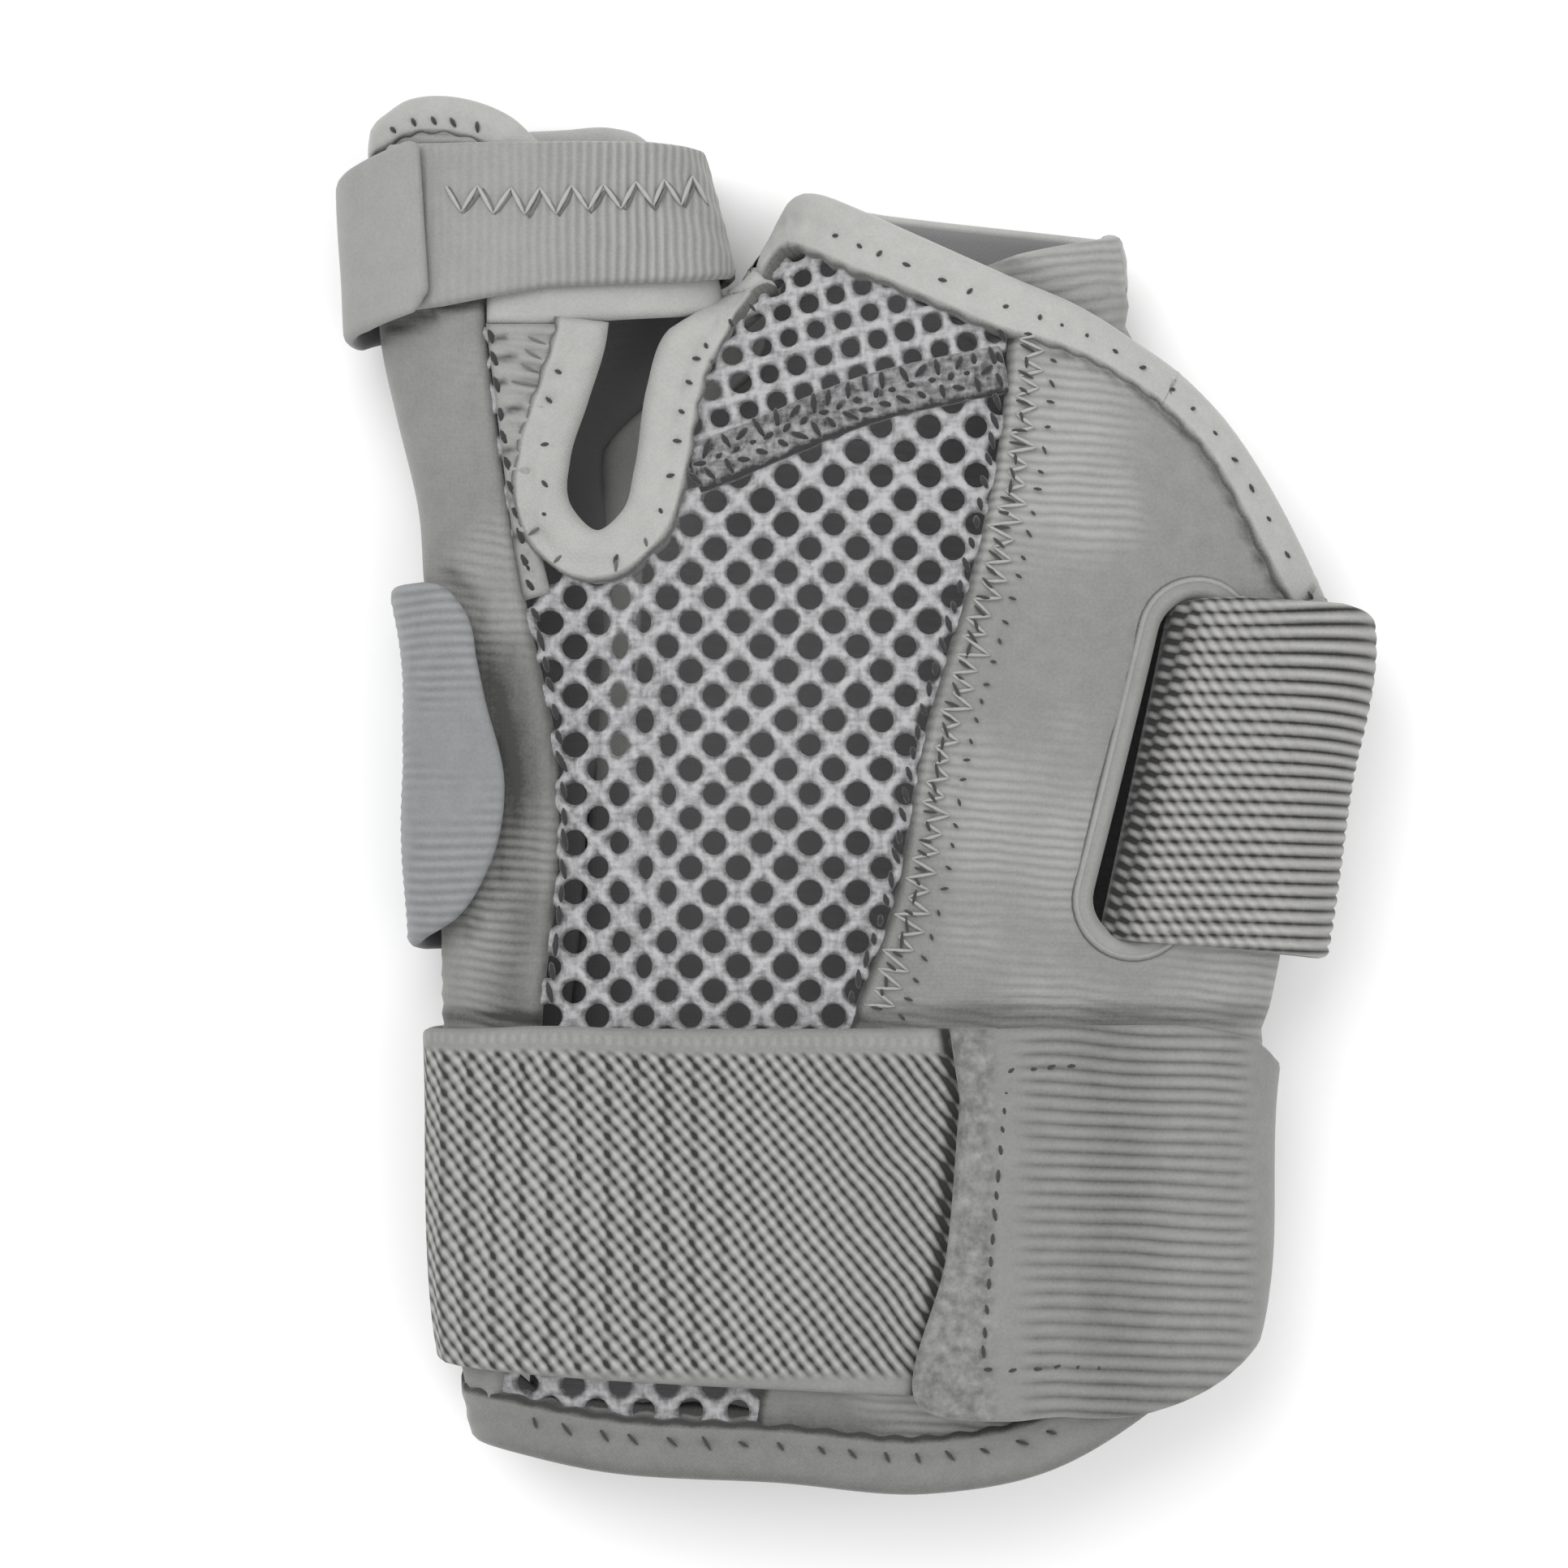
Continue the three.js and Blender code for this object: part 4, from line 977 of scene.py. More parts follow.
# painted shade beside the half oval, over the wrist strap, under the thumb strap, at the net, and down the
# fold
gutterShade = [
    ([(-49.6, 27), (-46.5, 23.8), (-43.5, 10.5), (-41.6, 1), (-43.1, -9), (-47.3, -16.6)], 1.2, 0.45),
    ([(-56, -27.4), (-36, -27.4)], 1.0, 0.7),
    ([(-62, 55), (-52.4, 58), (-51.2, 59.2), (-45, 60)], 0.8, 0.7),
    ([(-44.6, 57), (-42.4, 38), (-39.6, 23), (-36.2, 4), (-35.8, -4), (-37.9, -27)], 0.5, 0.5),
    ([(-43, 17), (-40.5, 4), (-40, -4), (-42.5, -26)], 3.0, 0.4),
]
cutCloth("radial_gutter", thumb, gutterOutline(), "panel", gutter["low"], gutter["high"], gutter["pitch"],
         relief=gutterRelief, held="gathered", restsOn=["palm_net"],
         painted_shade=[(thumb.flat(line), wide, strength) for line, wide, strength in gutterShade])

thumbBand = {"low": -2.6, "high": 0.2, "pitch": (1.5, 1.5), "waves": 0.25}
bandOutline = np.vstack([
    thumb.flat([(-45.3, 57.3), (-38, 57.2), (-30, 57.8), (-22, 58.4), (-17, 59)]),
    sideLine(thumb, 1, 6, [59, 74]), thumb.flat([(-22, 73.8), (-30, 73.8), (-45.3, 73.8)]),
])
cutCloth("thumb_band", thumb, bandOutline, "tape", thumbBand["low"], thumbBand["high"], thumbBand["pitch"],
         relief=lambda s, y: thumbBand["waves"] * wobble(s * 0.4, y, 9, 4), restsOn=["palm_net"])

tongue = np.vstack([
    thumb.flat([(-32, 76.5), (-37.7, 78.8), (-42.5, 82.9), (-47.3, 84.8), (-51.7, 85.4), (-55.3, 85.1),
                (-58.3, 83.7)]),
    sideLine(thumb, 0, -5, [82.2]),
    thumb.flat([(-56.5, 82.9), (-46.5, 82.6), (-36.5, 82.9), (-30.5, 83.2), (-26.7, 82.2), (-24.8, 80.6),
                (-24.2, 78.6)], "byLeft"),
])
tongueTape = {"width": 4.8, "low": -3.3, "high": 0.4, "pucker": 0.3}
tongueStitches = {"spacing": 3.0, "length": 1.5, "slant": -60, "radius": 0.3}
bindEdge("thumb_binding", thumb, curve(tongue, 0.7), "tape", replaces="thumb_binding",
         restsOn=["radial_gutter"], **tongueTape)
tongueLine = thumb.flat([(-57.5, 80.8), (-53, 82.3), (-47, 81.6), (-42.5, 79.5)])
ticks("thumb_binding_stitches", thumb, tongueLine, 0.0, 0.5, "tape", **tongueStitches)
print("thumb side done")


# Nets

def netCloth(name, region, gap, pitch, turn, hole, half, offset=-1.3, squeeze=None):
    # Cells of a staggered lattice: a ring of 16 points at the hole, one beside it and one on the cell's own
    # rhomb, the last two at an upper and a lower height. Points beyond the region go to its nearest side
    share = np.arange(16) / 4
    corner = np.array([(1, 0), (0, 1), (-1, 0), (0, -1), (1, 0)]) * np.array(pitch) / 2
    side = share.astype(int)
    rhomb = corner[side] + (corner[side + 1] - corner[side]) * (share - side)[:, None]
    holeRing = rhomb / np.linalg.norm(rhomb, axis=1, keepdims=True) * hole
    spread = int(130 / min(pitch))
    i, j = np.meshgrid(np.arange(-spread, spread), np.arange(-2 * spread, 2 * spread))
    centres = np.stack([(i + (j % 2) / 2).ravel() * pitch[0], j.ravel() * pitch[1] / 2], 1)
    spin = np.array([[np.cos(turn), np.sin(turn)], [-np.sin(turn), np.cos(turn)]])
    centres = centres @ spin
    closed = np.vstack([region, region[:1]])
    low, high = region.min(0) - 4, region.max(0) + 4
    centres = centres[(centres > low).all(1) & (centres < high).all(1)]
    near = insideOf(centres, region) | (distanceTo(centres, closed)[0] < 2.2)
    centres = centres[near & gap(centres)]
    source = np.random.default_rng(len(centres))
    size = (1 + source.uniform(-0.08, 0.08, len(centres)))[:, None, None]
    stretch = np.ones((len(centres), 1, 2)) if squeeze is None else squeeze(centres)[:, None]
    holes = holeRing[None] * size * stretch
    rhombs = np.broadcast_to(rhomb, (len(centres), 16, 2))
    cellRings = [holes, holes + (rhombs - holes) * 0.3, rhombs]
    heights = [(0, 0.0), (1, 0.75), (2, 1.0), (1, -0.75), (2, -1.0)]
    flat = np.stack([cellRings[k] @ spin + centres[:, None] for k, _ in heights], 1)
    height = np.broadcast_to(np.array([h for _, h in heights])[None, :, None], flat.shape[:3]).copy()
    depth = np.broadcast_to(np.array([0, 0.35, 1.0, 0.35, 1.0])[None, :, None], flat.shape[:3])
    points = flat.reshape(-1, 2)
    outside = ~insideOf(points, region)
    points[outside] = nearest(points[outside], closed)
    height = height.ravel()
    height[outside] = 0
    # points that fall together become one
    keyed = np.round(np.column_stack([points, height]) * 200).astype(np.int64)
    _, first, renumber = np.unique(keyed, axis=0, return_index=True, return_inverse=True)
    renumber = renumber.ravel()
    base = np.arange(len(centres))[:, None, None] * 80
    quads = []
    for inner, outer in ((0, 1), (1, 2), (3, 0), (4, 3)):
        a = np.arange(16)
        b = (a + 1) % 16
        quad = np.stack([inner * 16 + a, outer * 16 + a, outer * 16 + b, inner * 16 + b], 1)
        quads.append((quad[None] + base).reshape(-1, 4))
    faces = renumber[np.vstack(quads)]
    good = np.array([faces[:, k] != faces[:, (k + 1) % 4] for k in range(4)]).all(0)
    faces = faces[good]
    points, height, depth = points[first], height[first], depth.reshape(-1)[first]
    shape = plan.place(points[:, 0], points[:, 1], offset + half * height + 0.25 * wobble(*points.T, 7, 2))
    piece = addPiece(name, shape, faces, "net", points, {"rimmed": depth, "lining_and_shade": 0.0}, name)
    right, up = [
        plan.place(*(centres + step).T, np.zeros(len(centres)))
        - plan.place(*(centres - step).T, np.zeros(len(centres))) for step in np.eye(2)
    ]
    # surface per plan area, from the two steps of 2 mm
    spreadOut = np.linalg.norm(np.cross(right, up), axis=1).mean() * 1e6 / 4
    size = (region.max(0) - region.min(0)) * np.array([spreadOut, 1.0])
    asSheet(piece, size[0], size[1], areaOf(region) * spreadOut)
    print(name, len(centres), "cells", len(faces) * 2)
    return piece


def netRegion():
    left, right = pushed(lines["gutter"], -1.0), pushed(lines["net"], 1.0)
    right = right[right[:, 1] < 52]
    under = [(-44, -80), (-30, -81), (-13, -81)]
    return np.vstack([left, under, right[::-1], lines["ruffle"][::-1], [(-27, 57.3)]])


def awayFromWeb(points):
    distance, side = distanceTo(points, lines["web"])
    atPeak = (points[:, 0] > -15) & (points[:, 1] > 59)
    return atPeak | (distance > 3.2) & ((side < 0) | (points[:, 1] < 33))


def creased(points):
    # Holes close up towards the pucker that runs down from the web, and beside the gutter
    line = curve([(-27.5, 22), (-25.5, -2), (-26.5, -22)], 1.0)
    gap = distanceTo(points, line)[0]
    narrow = 1 - 0.45 * np.exp(-(gap / 2.6) ** 2) * smooth(-26, -18, points[:, 1])
    return np.stack([narrow, np.ones(len(points))], 1)


palmMesh = {"pitch": (5.8, 6.0), "turn": 0.0, "hole": 1.46, "half": 0.6}
fingerMesh = {"pitch": (4.9, 5.0), "turn": -0.5, "hole": 1.2, "half": 0.55}
netCloth("palm_net", netRegion(), awayFromWeb, squeeze=creased, **palmMesh)
underTape = pushed(lines["finger"], -6.0)[(lines["finger"][:, 0] > -7) & (lines["finger"][:, 0] < 19)]
fingerRegion = np.vstack([
    [(-27, 37), (-25, 38)], lines["ruffle"], [(18.6, 58)], underTape[::-1],
    [(-12.5, 62.5), (-17, 60), (-21, 56), (-24.5, 49)],
])
netCloth("finger_net", fingerRegion, awayFromWeb, **fingerMesh)

ruffleTape = {"width": 6.0, "low": -2.0, "high": 0.1, "side": -1, "rough": 0.55, "held": "gathered"}
ruffleLine = lines["ruffle"][lines["ruffle"][:, 0] > -20.5]
bindEdge("ruffle_seam", plan, curve(pushed(ruffleLine, 3.0), 0.35), "net", restsOn=["palm_net"], **ruffleTape)
print("nets done")


# Gathered strip between the gutter and the web's tape

def stripRelief(x, y):
    # Uneven puckers across the strip, deepest beside the tape
    beat = np.sin(2 * np.pi * (y + 0.5 * wobble(x, y, 9, 3) + 0.12 * x) / 1.9)
    return (0.34 * beat + 0.3 * wobble(x, y, 3.5, 5)) * (0.45 + 0.55 * smooth(-45, -40, x))


gatherOutline = np.array([
    (-45.3, 57.3), (-44.0, 47), (-42.9, 38), (-41.8, 30), (-40.8, 23.5), (-37.5, 24.5), (-38.5, 29),
    (-39.2, 35), (-38.9, 41.5), (-36.6, 48.5), (-34.6, 55.5), (-34.6, 57.3),
])
# Folds of the strip, each drawn as a band of painted shade
gatherFolds = [  # middle x, y and length of a dark fold
    (-44.0, 55.2, 2.2), (-42.6, 52.9, 1.6), (-43.6, 49.8, 1.4), (-41.8, 46.6, 1.5), (-42.4, 41.5, 1.2),
    (-41.2, 36.0, 1.4), (-41.0, 31.0, 1.4),
]
# painted shade in the folds and beside the gutter's seam
gatherShade = [
    (np.array([(x - long / 2, y), (x + long / 2, y + 0.3)]), 0.42, 0.9) for x, y, long in gatherFolds
]
gatherShade.append((pushed(lines["gutter"], -0.4), 0.5, 0.7))
webGather = {"low": -1.6, "high": 0.25, "pitch": (0.7, 0.45), "held": "gathered"}
cutCloth("web_gather", plan, gatherOutline, "rim", relief=stripRelief, restsOn=["palm_net"], replaces=False,
         painted_shade=gatherShade, **webGather)


# Palm panel with the slot of its strap

strapSlot = {"top": (41.1, 19.0), "low": (33.1, -13.2), "width": 9.2, "length": 42.0, "rim": 2.8}
slotWay = np.subtract(strapSlot["low"], strapSlot["top"])
slotWay = slotWay / np.linalg.norm(slotWay)
slotSide = np.array([-slotWay[1], slotWay[0]])


def slotOutline(margin):
    # Two half circles joined by straight sides
    radius = strapSlot["width"] / 2 + margin
    span = strapSlot["length"] - strapSlot["width"]
    turn = np.linspace(0, np.pi, 18)
    low = np.array(strapSlot["top"]) + slotWay * span
    halfCircle = radius * (np.cos(turn)[:, None] * slotSide + np.sin(turn)[:, None] * slotWay)
    first = low + halfCircle
    second = np.array(strapSlot["top"]) - halfCircle
    return curve(np.vstack([first, second, first[:1]]), 0.8, smoothed=False)


def palmOutline():
    up = along(hand, "net")[::-1]
    finger = pushed(along(hand, "finger"), -4.0)
    finger = finger[(lines["finger"][:, 0] > 20) & (lines["finger"][:, 1] > 16)]
    right = sideLine(hand, 1, 7, [12, 0, -20, -40, -61])
    low = pushed(hem[(hem[:, 0] > -13) & (hem[:, 0] < hand.sideAt(-64, 1) + 2)], 3.5)[::-1]
    return np.vstack([up, finger, right, low])


def palmRelief(s, y):
    # Ridge beside the slot, a crease above the wrist strap, a dip beside the net's seam, slow waves
    flat = np.stack([s, y], 1)
    ring = distanceTo(flat, hand.flat(slotOutline(strapSlot["rim"])))[0]
    ridge = 0.45 * np.exp(-((ring - 0.8) / 0.9) ** 2)
    crease = -0.5 * np.exp(-((y + 25.5 + 0.06 * s) / 1.4) ** 2) * smooth(8, 22, s)
    seamGap = distanceTo(flat, along(hand, "net"))[0]
    seamDip = 0.3 * np.exp(-((seamGap - 1.2) / 0.9) ** 2) - 0.3 * np.exp(-((seamGap - 6.5) / 1.0) ** 2)
    pulls = 0.12 * wobble(s, y, 2.6, 9) * np.exp(-seamGap / 5)
    return ridge + crease + seamDip + pulls + 0.3 * wobble(s * 0.7, y, 26, 6)


palmCloth = {"low": -3, "high": 0, "pitch": (1.6, 1.4), "held": "stretched"}
# painted shade beside the finger tape, at the net, over the wrist strap and over the hem
palmShade = [  # shade beside the finger tape, at the net, over the wrist strap and over the hem
    (pushed(along(hand, "finger"), -7.7), 0.5, 0.6),
    (along(hand, "net"), 0.7, 0.6),
    (hand.flat([(0, -27.2), (10, -26.8), (55, -27.0)]), 1.0, 0.6),
    (hand.flat([(-12, -77), (10, -77.8), (28, -75.5), (39, -69)]), 2.6, 0.45),
]
cutCloth("palm_panel", hand, palmOutline(), "panel", relief=palmRelief, hole=hand.flat(slotOutline(1.2)),
         restsOn=["dorsal_panel"], painted_shade=palmShade, **palmCloth)
rimTape = {"width": 2.9, "low": -3.2, "high": 0.55}
bindEdge("slot_rim", hand, hand.flat(slotOutline(0)), "rim", closed=True, replaces="slot_rim",
         restsOn=["palm_panel"], **rimTape)
print("palm panel done")


# Bindings of the front

webTape = {"width": 6.6, "low": -3.4, "high": 0.7, "side": -1, "pucker": 0.5, "spacing": 4.0, "rough": 0.12,
           "seamAt": 0.7, "taper": 0.6}
fingerTape = {"width": 7.4, "low": -3.4, "high": 0.6, "side": -1, "pucker": 0.5, "seamAt": 0.55}
webLine = curve(edges["web"], 0.45)
bindEdge("web_binding", plan, webLine, "tape", replaces="web_binding", restsOn=["palm_net"], **webTape)
fingerLine = along(hand, "finger")
peakStart = [(-4, 67), (-3, 71.4), (0.6, 73.9)]  # past the silhouette, y
peak = [sideLine(hand, 0, past, [y]) for past, y in peakStart]
peak = np.vstack(peak + [fingerLine[lines["finger"][:, 0] > -1]])
bindEdge("finger_binding", hand, curve(peak, 0.6), "tape", replaces="finger_binding", restsOn=["palm_panel"],
         **fingerTape)
print("front tapes done")


# Stitches of the front

fingerStitches = {"side": -1, "slant": 35, "spread": 45, "length": 1.15, "radius": 0.27}
webStitches = {"spacing": 4.0, "side": -1, "slant": 80, "length": 1.1, "radius": 0.27, "skip": 6,
               "spread": 40}
# Dark strokes that paint the shade in the puckers beside the web's tape
webPuckers = {"spacing": 1.9, "length": 2.9, "slant": 86, "radius": 0.2, "side": -1, "spread": 14,
              "bulge": 0.03, "thread_and_shade": 0.5}
lowPuckers = {"spacing": 2.3, "length": 1.5, "slant": 60, "radius": 0.24, "side": -1, "spread": 40,
              "bulge": 0.03, "thread_and_shade": 0.6}
wristStitches = {"slant": -48, "length": 1.9, "radius": 0.27, "spread": 25}
gutterStitches = {"spacing": 3.1, "length": 2.6, "slant": 12, "radius": 0.42}
netStitches = {"spacing": 2.6, "length": 2.0, "slant": 25, "radius": 0.4}
netThread = {"step": 1.15, "radius": 0.24, "thread_and_shade": 0.1, "uneven": 0.8}
netMarks = {"spacing": 1.7, "length": 2.0, "slant": 50, "radius": 0.24, "spread": 50}
netDots = {"spacing": 2.6, "length": 1.0, "slant": 70, "radius": 0.22, "spread": 50}
# shift, slant, length
ruffleRows = {"high": (1.6, 65, 2.4), "middle": (0.1, 20, 1.6), "low": (-1.4, -50, 2.1)}
strapTop = -27  # the wrist strap covers the seams below this

fingerSide = fingerLine[(fingerLine[:, 1] < 73) & (fingerLine[:, 1] > 22)]
ticks("finger_binding_stitches", hand, fingerSide, 4.2, 0.45, "tape", **fingerStitches)
ticks("web_binding_stitches", plan, webLine[webLine[:, 0] > -33.5], 4.5, 0.6, "tape", **webStitches)
puckerLine = webLine[(webLine[:, 0] < -27.5) & (webLine[:, 1] < 54)]
# painted shade in the puckers beside the web's tape
ticks("web_puckers", plan, puckerLine[puckerLine[:, 1] > 45], 8.0, 0.42, "rim", **webPuckers)
ticks("web_puckers_low", plan, puckerLine[puckerLine[:, 1] < 36], 5.2, 0.8, "rim", **lowPuckers)
ticks("wrist_binding_stitches", hand, hem[(hem[:, 0] > -43) & (hem[:, 0] < 27)], 5.0, 0.45, "tape",
      **wristStitches)
gutterSeam, netSeam = [lines[name][lines[name][:, 1] > strapTop] for name in ("gutter", "net")]
ticks("gutter_seam_stitches", plan, gutterSeam, 0.9, -0.25, "net", **gutterStitches)
ticks("net_seam_stitches", plan, netSeam, -0.9, -0.1, "net", **netStitches)
netSide = along(hand, "net")[lines["net"][:, 1] > strapTop]
zigzag("net_seam_thread", hand, netSide, 1.2, 4.2, 0.3, "tape", **netThread)
ticks("net_seam_marks", hand, netSide, 2.3, 0.25, "tape", **netMarks)
ticks("net_seam_dots", hand, netSide, 5.6, 0.2, "tape", **netDots)
for name, (shift, slant, long) in ruffleRows.items():
    ticks("ruffle_stitches_" + name, plan, pushed(ruffleLine, shift), 0.0, 0.15, "net", spacing=2.3,
          length=long, slant=slant, radius=0.4, spread=40, skip=shift)
print("front stitches done")


# Back of the hand, whose side folds forward at the fingers

dorsalCloth = {"low": -3, "high": 0, "pitch": (2.0, 2.0), "waves": 0.25, "tuck": 3.7}


def dorsalOutline():
    across = np.linspace(-42, 44, 60)
    low = np.stack([np.interp(across, lines["hem"][:, 0], lines["hem"][:, k]) for k in (0, 1)], 1)
    low[:, 1] += 3.5
    low[0] = (-41.5, -77)
    low = back.flat(low)
    right = sideLine(back, 1, 1.5, [-58, -40, -20, 0, 20, 40])
    flap = back.flat([(49, 42), (40, 41), (26, 44), (18, 54), (12, 63.5), (14, 65), (20, 66.2), (27, 67.6),
                      (31, 68.4)], "byRight")
    turn = sideLine(back, 1, 0, [69.2])
    top = back.flat([(29, 67), (16, 68.5), (4, 69.8), (-5, 71.8), (-11, 72.6)])
    left = back.flat([(-14, 66), (-14.6, 62), (-16, 58), (-25.4, 49.5), (-31.5, 42.7), (-31.7, 38), (-33, 0),
                      (-36, -30)])
    return np.vstack([low, right, flap, turn, top, left])


def dorsalLift(s, y):
    # Outer side beyond the finger edge, tucked in behind the front along the side
    found = back.lookUp(back.table, back.cols, s, y)
    beyond, side = distanceTo(found[:, :2], lines["finger"])
    beyond = beyond * side
    behind = smooth(-7, -2, s - back.sideAt(y, 1)) * (1 - smooth(0.3, 3.0, beyond))
    return -dorsalCloth["tuck"] * behind


def dorsalRelief(s, y):
    # Slow waves
    return dorsalCloth["waves"] * wobble(s, y, 30, 8)


cutCloth("dorsal_panel", back, dorsalOutline(), "panel", dorsalCloth["low"], dorsalCloth["high"],
         dorsalCloth["pitch"], relief=dorsalRelief, lift=dorsalLift, held="folded", restsOn=["floor"])
# inside paints shade on the tape's inner face, with the lining grey
dorsalTape = {"width": 7.0, "low": -3.4, "high": 0.4, "side": -1, "pucker": 0.3, "inside": 0.9}
backWebTape = {"width": 6.0, "low": -3.4, "high": 0.4, "pucker": 0.3}
bindEdge("dorsal_finger_binding", back, curve(along(back, "dorsalTop"), 0.8), "tape",
         replaces="dorsal_finger_binding", restsOn=["dorsal_panel"], **dorsalTape)
webBack = [(-14.3, 66), (-16, 58), (-25.4, 49.5), (-31.5, 42.7), (-31.7, 38), (-32.3, 20), (-33, 0)]
bindEdge("dorsal_web_binding", back, back.flat(curve(webBack, 0.8)), "tape", replaces="dorsal_web_binding",
         restsOn=["dorsal_panel"], **backWebTape)
print("back done")


# Straps

def strapGrid(starts, ends, rows, split):
    # s from the start line to the end line with uneven columns, y from the low to the high edge
    share = np.linspace(0, 1, rows)[:, None]
    s = starts[0] + (starts[1] - starts[0]) * share + 0 * split[None]
    last = ends[0] + (ends[1] - ends[0]) * share
    return s + (last - s) * split[None], share


palmStrap = {"low": 0.7, "high": 2.5, "rows": 136, "width": 43.0, "ribs": 1.6, "slack": 3.4, "dive": 5.5}


def palmStrapPiece():
    end = hand.flat([(-41.5, -19), (-41.5, 22)], "byRight")[:, 0]
    split = np.concatenate([np.linspace(0, 0.11, 38)[:-1], np.linspace(0.11, 0.33, 46)[:-1],
                            np.linspace(0.33, 1, 46)])
    s, share = strapGrid((29.5, 38.1), end, palmStrap["rows"], split)
    side = hand.sideAt(0, 1)
    high = np.interp(s, [38, 46, 57, side, side + 14, end[0]], [23.3, 23.7, 22.4, 20.6, 19.5, 23.4])
    low = np.interp(s, [30, 57, side, end[0]], [-17.4, -19.4, -19.6, -19.4])
    y = low + (high - low) * share
    v = share * palmStrap["width"]

    def relief(s, y):
        # Rounded ribs |sin|^0.7 crossed by beads, both fading at the back
        ribs = np.abs(np.sin(np.pi * v / palmStrap["ribs"])) ** 0.7
        beads = np.cos(2 * np.pi * (s + 0.67 * v) / 1.5)
        beads = beads * (1 - smooth(44, 54, s))
        return (0.42 * ribs - 0.2 + 0.1 * beads) * (1 - smooth(side + 6, side + 20, s))

    def lift(s, y):
        # Its start dives into the slot, and it bulges at the side
        start = s - s[:, :1]
        dive = -palmStrap["dive"] * (1 - smooth(-1.5, 4.0, start)) ** 1.2
        slack = palmStrap["slack"] * smooth(side - 20, side - 3, s) * (1 - smooth(side + 6, side + 22, s))
        return dive + slack

    # painted shade on the strap's first 5 mm, where it dives into the slot
    return ribbon("palm_strap", hand, s, y, "elastic_palm", palmStrap["low"], palmStrap["high"], relief, lift,
                  "palm_strap",
                  marks={"painted_shade": (1 - smooth(0, 5, s - s[:, :1])) * 0.6})


palmStrapPiece()
wristStrap = {"low": 0.7, "high": 2.5, "rows": 118, "wale": 3.4}


def wristStrapPiece():
    end = hand.flat([(29.5, -71), (29.5, -28)], "byLeft")[:, 0]
    split = np.concatenate([np.linspace(0, 0.33, 170)[:-1], np.linspace(0.33, 1, 90)])
    s, share = strapGrid((16.0, 17.0), end, wristStrap["rows"], split)
    side = hand.sideAt(-50, 0)
    high = np.interp(-s, [-17, 40, -side, 200], [-28.0, -28.2, -28.8, -28.0])
    low = np.interp(-s, [-17, 0, 30, -side, 200], [-72.6, -72.0, -70.6, -69.0, -70.8])
    y = low + (high - low) * share

    def relief(s, y):
        # Slow waves and fine wales in front
        wales = 0.18 * np.sin(2 * np.pi * s / wristStrap["wale"]) * smooth(-12, -26, s)
        return (0.3 * wobble(s, y, 22, 13) + wales) * (s > side)

    # painted shadow on the strap along the tab's sewn edge
    beside = s - np.interp(y, [-73, -56, -37, -28], [6.6, 9.9, 11.6, 10.4])
    return ribbon("wrist_strap", hand, s, y, "elastic_wrist", wristStrap["low"], wristStrap["high"], relief,
                  None, "wrist_strap", marks={"painted_shade": np.exp(-(beside / 0.8) ** 2)})


wristStrapPiece()
tabPoints = [(10.9, -27.7), (29, -27.7), (42, -28.3), (48, -30.2), (50.6, -34.8), (50.8, -50), (49.2, -63.4),
             (43.7, -70.6), (35, -74.6), (22, -74.8), (7.1, -72.7), (10.4, -55.9), (12.1, -36.9)]
tabFlat = hand.flat(curve(tabPoints, 0.8))


def tabLift(s, y):
    # The sewn end lies on the strap
    return 2.3 * (1 - smooth(18, 25, s))


def tabRelief(s, y):
    # Fine ribs, a raised rim at the sewn end, a groove down the stitched box
    ribs = 0.16 * np.cos(2 * np.pi * (y + 0.3 * wobble(s, y, 20, 2)) / 1.6)
    ribs = ribs * smooth(17.5, 21, s) * (1 - smooth(44, 49, s))
    rimmed = 0.5 * np.exp(-((s - np.interp(y, [-72, -56, -37, -28], [8.3, 11.3, 13, 12])) / 0.9) ** 2)
    box = -0.35 * np.exp(-((s - np.interp(y, [-68, -33], [15, 16.8])) / 0.6) ** 2)
    box = box * smooth(-70, -68, y) * (1 - smooth(-33, -31, y))
    return ribs + rimmed + box + 0.25 * wobble(s, y, 25, 21)


wristTab = {"low": 0.7, "high": 2.5, "pitch": (1.3, 0.42), "edge": 1.0}
tabStitches = {"spacing": 2.6, "length": 1.5, "slant": 12, "radius": 0.26}
cutCloth("wrist_strap_tab", hand, tabFlat, "hook_wrist", relief=tabRelief, lift=tabLift,
         restsOn=["palm_panel"], **wristTab)
boxLine = hand.flat([(27, -32.6), (17.8, -33), (16.2, -50), (14.6, -68.4), (32, -69)])
ticks("wrist_tab_stitches", hand, boxLine, 0.0, lambda s: 2.15 + tabLift(s, 0), "hook_wrist", **tabStitches)


def palmTabOutline():
    front = hand.flat([(-50.5, 26.0), (-49, 25.4), (-47.4, 23), (-44.5, 10.2), (-42.6, 1), (-44.2, -8.5),
                       (-48, -15.5), (-50.5, -18.2)])
    left = sideLine(hand, 0, -3, [-19.3])
    backLow = hand.flat([(-46, -19.4), (-42.4, -19.4), (-42.4, 23.4), (-46, 23.6)], "byLeft")
    leftHigh = sideLine(hand, 0, -3, [25.6])
    return np.vstack([curve(front, 0.8), left, backLow, leftHigh])


def palmTabRelief(s, y):
    # Fine ribs on slow waves
    return 0.07 * np.cos(2 * np.pi * (y + 0.4 * wobble(s, y, 14, 2)) / 1.35) + 0.25 * wobble(s, y, 19, 31)


def palmTabLift(s, y):
    # Raised at the side, where the strap bulges
    return 1.7 * smooth(-46, -52, s) * smooth(-78, -66, s)


palmTab = {"low": 0.7, "high": 2.5, "pitch": (1.2, 0.45), "edge": 1.0}
cutCloth("palm_strap_tab", hand, palmTabOutline(), "hook_palm", relief=palmTabRelief, lift=palmTabLift,
         restsOn=["radial_gutter"], **palmTab)
print("hand straps done")


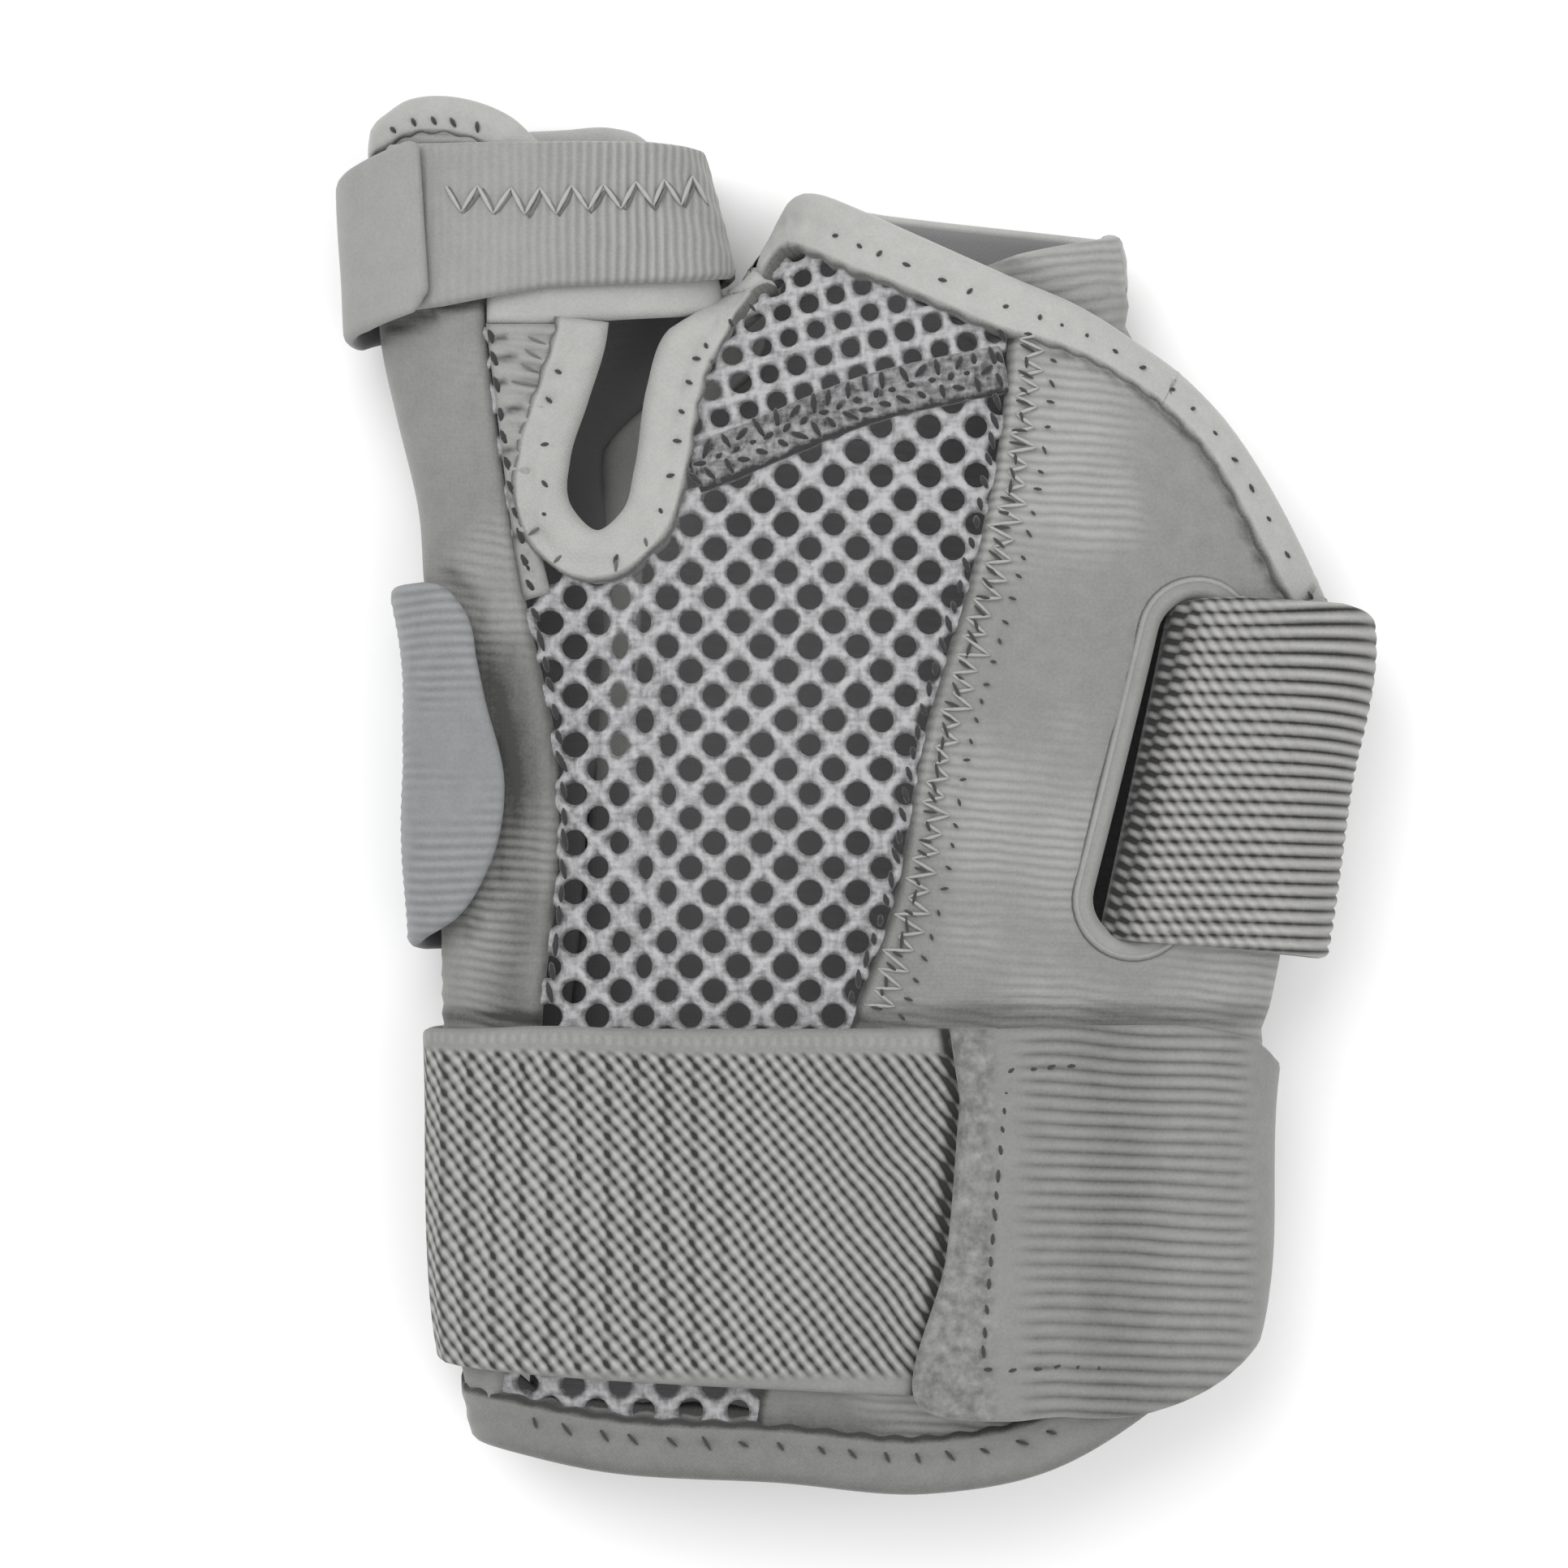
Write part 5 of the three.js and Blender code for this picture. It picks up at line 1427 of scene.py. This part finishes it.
def thumbStrapPiece():
    side = thumb.sideAt(70, 1)
    end = thumb.flat([(-50, 60), (-50, 76)], "byRight")[:, 0]
    split = np.concatenate([np.linspace(0, 0.4, 150)[:-1], np.linspace(0.4, 1, 50)])
    s, share = strapGrid((-57.5, -57.5), end, 44, split)
    high = np.interp(s, [-57, -50, -26, -18, side + 2, end[0]], [79.3, 79.2, 79.4, 79.0, 78.6, 76])
    low = np.interp(s, [-57, -50, -38, -22, side + 2, end[0]], [58.6, 59.2, 61.4, 62.1, 63.2, 59.5])
    y = low + (high - low) * share

    def relief(s, y):
        # Fine ribs across it, weaker under its tab, and slow waves
        strength = 0.3 + 0.7 * smooth(-44, -26, s)
        ribs = 0.11 * np.cos(2 * np.pi * (s + 0.25 * wobble(s, y, 12, 4)) / 1.15) * strength
        return ribs * (s < side) + 0.25 * wobble(s, y, 15, 41)

    return ribbon("thumb_strap", thumb, s, y, "elastic_thumb", 0.7, 2.5, relief, None, "thumb_strap")


thumbStrapPiece()
thumbThread = {"step": 1.85, "radius": 0.3, "thread_and_shade": -0.35}
# a dark copy of the zigzag, shifted down and right and lower, paints the stitches' shadow
thumbStitchShadows = {"step": 1.85, "radius": 0.26, "thread_and_shade": 0.55}
zigLine = thumb.flat([(-50, 72.4), (-40, 71.8), (-30, 72.4), (-20.5, 73.4)])
zigzag("thumb_strap_stitches", thumb, zigLine, -1.7, 1.7, 2.65, "elastic_thumb", **thumbThread)
zigzag("thumb_strap_stitch_shadows", thumb, zigLine + np.array([0.45, -0.35]), -1.7, 1.7, 2.5, "elastic_thumb",
       **thumbStitchShadows)


def thumbTabOutline():
    front = thumb.flat([(-58, 77), (-53.3, 79.4), (-52.1, 79), (-50.9, 61), (-52.3, 58.4), (-57, 56.6)])
    left = sideLine(thumb, 0, -4, [55.4])
    leftHigh = sideLine(thumb, 0, -4, [73.8])
    backLow = thumb.flat([(-55, 57), (-50.8, 58.2), (-50.8, 75.6), (-55, 74.6)], "byLeft")
    return np.vstack([front, left, backLow, leftHigh])


def thumbTabRelief(s, y):
    # Raised rim with a groove beside it, and slow waves
    edge = 0.35 * np.exp(-((s + 51.6) / 0.8) ** 2) - 0.2 * np.exp(-((s + 53.4) / 0.7) ** 2)
    return edge * (s > -62) + 0.2 * wobble(s, y, 16, 51)


thumbTab = {"low": 2.8, "high": 4.6, "pitch": (1.2, 1.2), "edge": 1.0}
cutCloth("thumb_strap_tab", thumb, thumbTabOutline(), "hook_thumb", relief=thumbTabRelief,
         lift=lambda s, y: -2.1 * smooth(-64, -76, s), restsOn=["thumb_strap"], **thumbTab)
print("straps done")

for name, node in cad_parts.items():
    if not node.hide_render:
        print("still plain:", name)
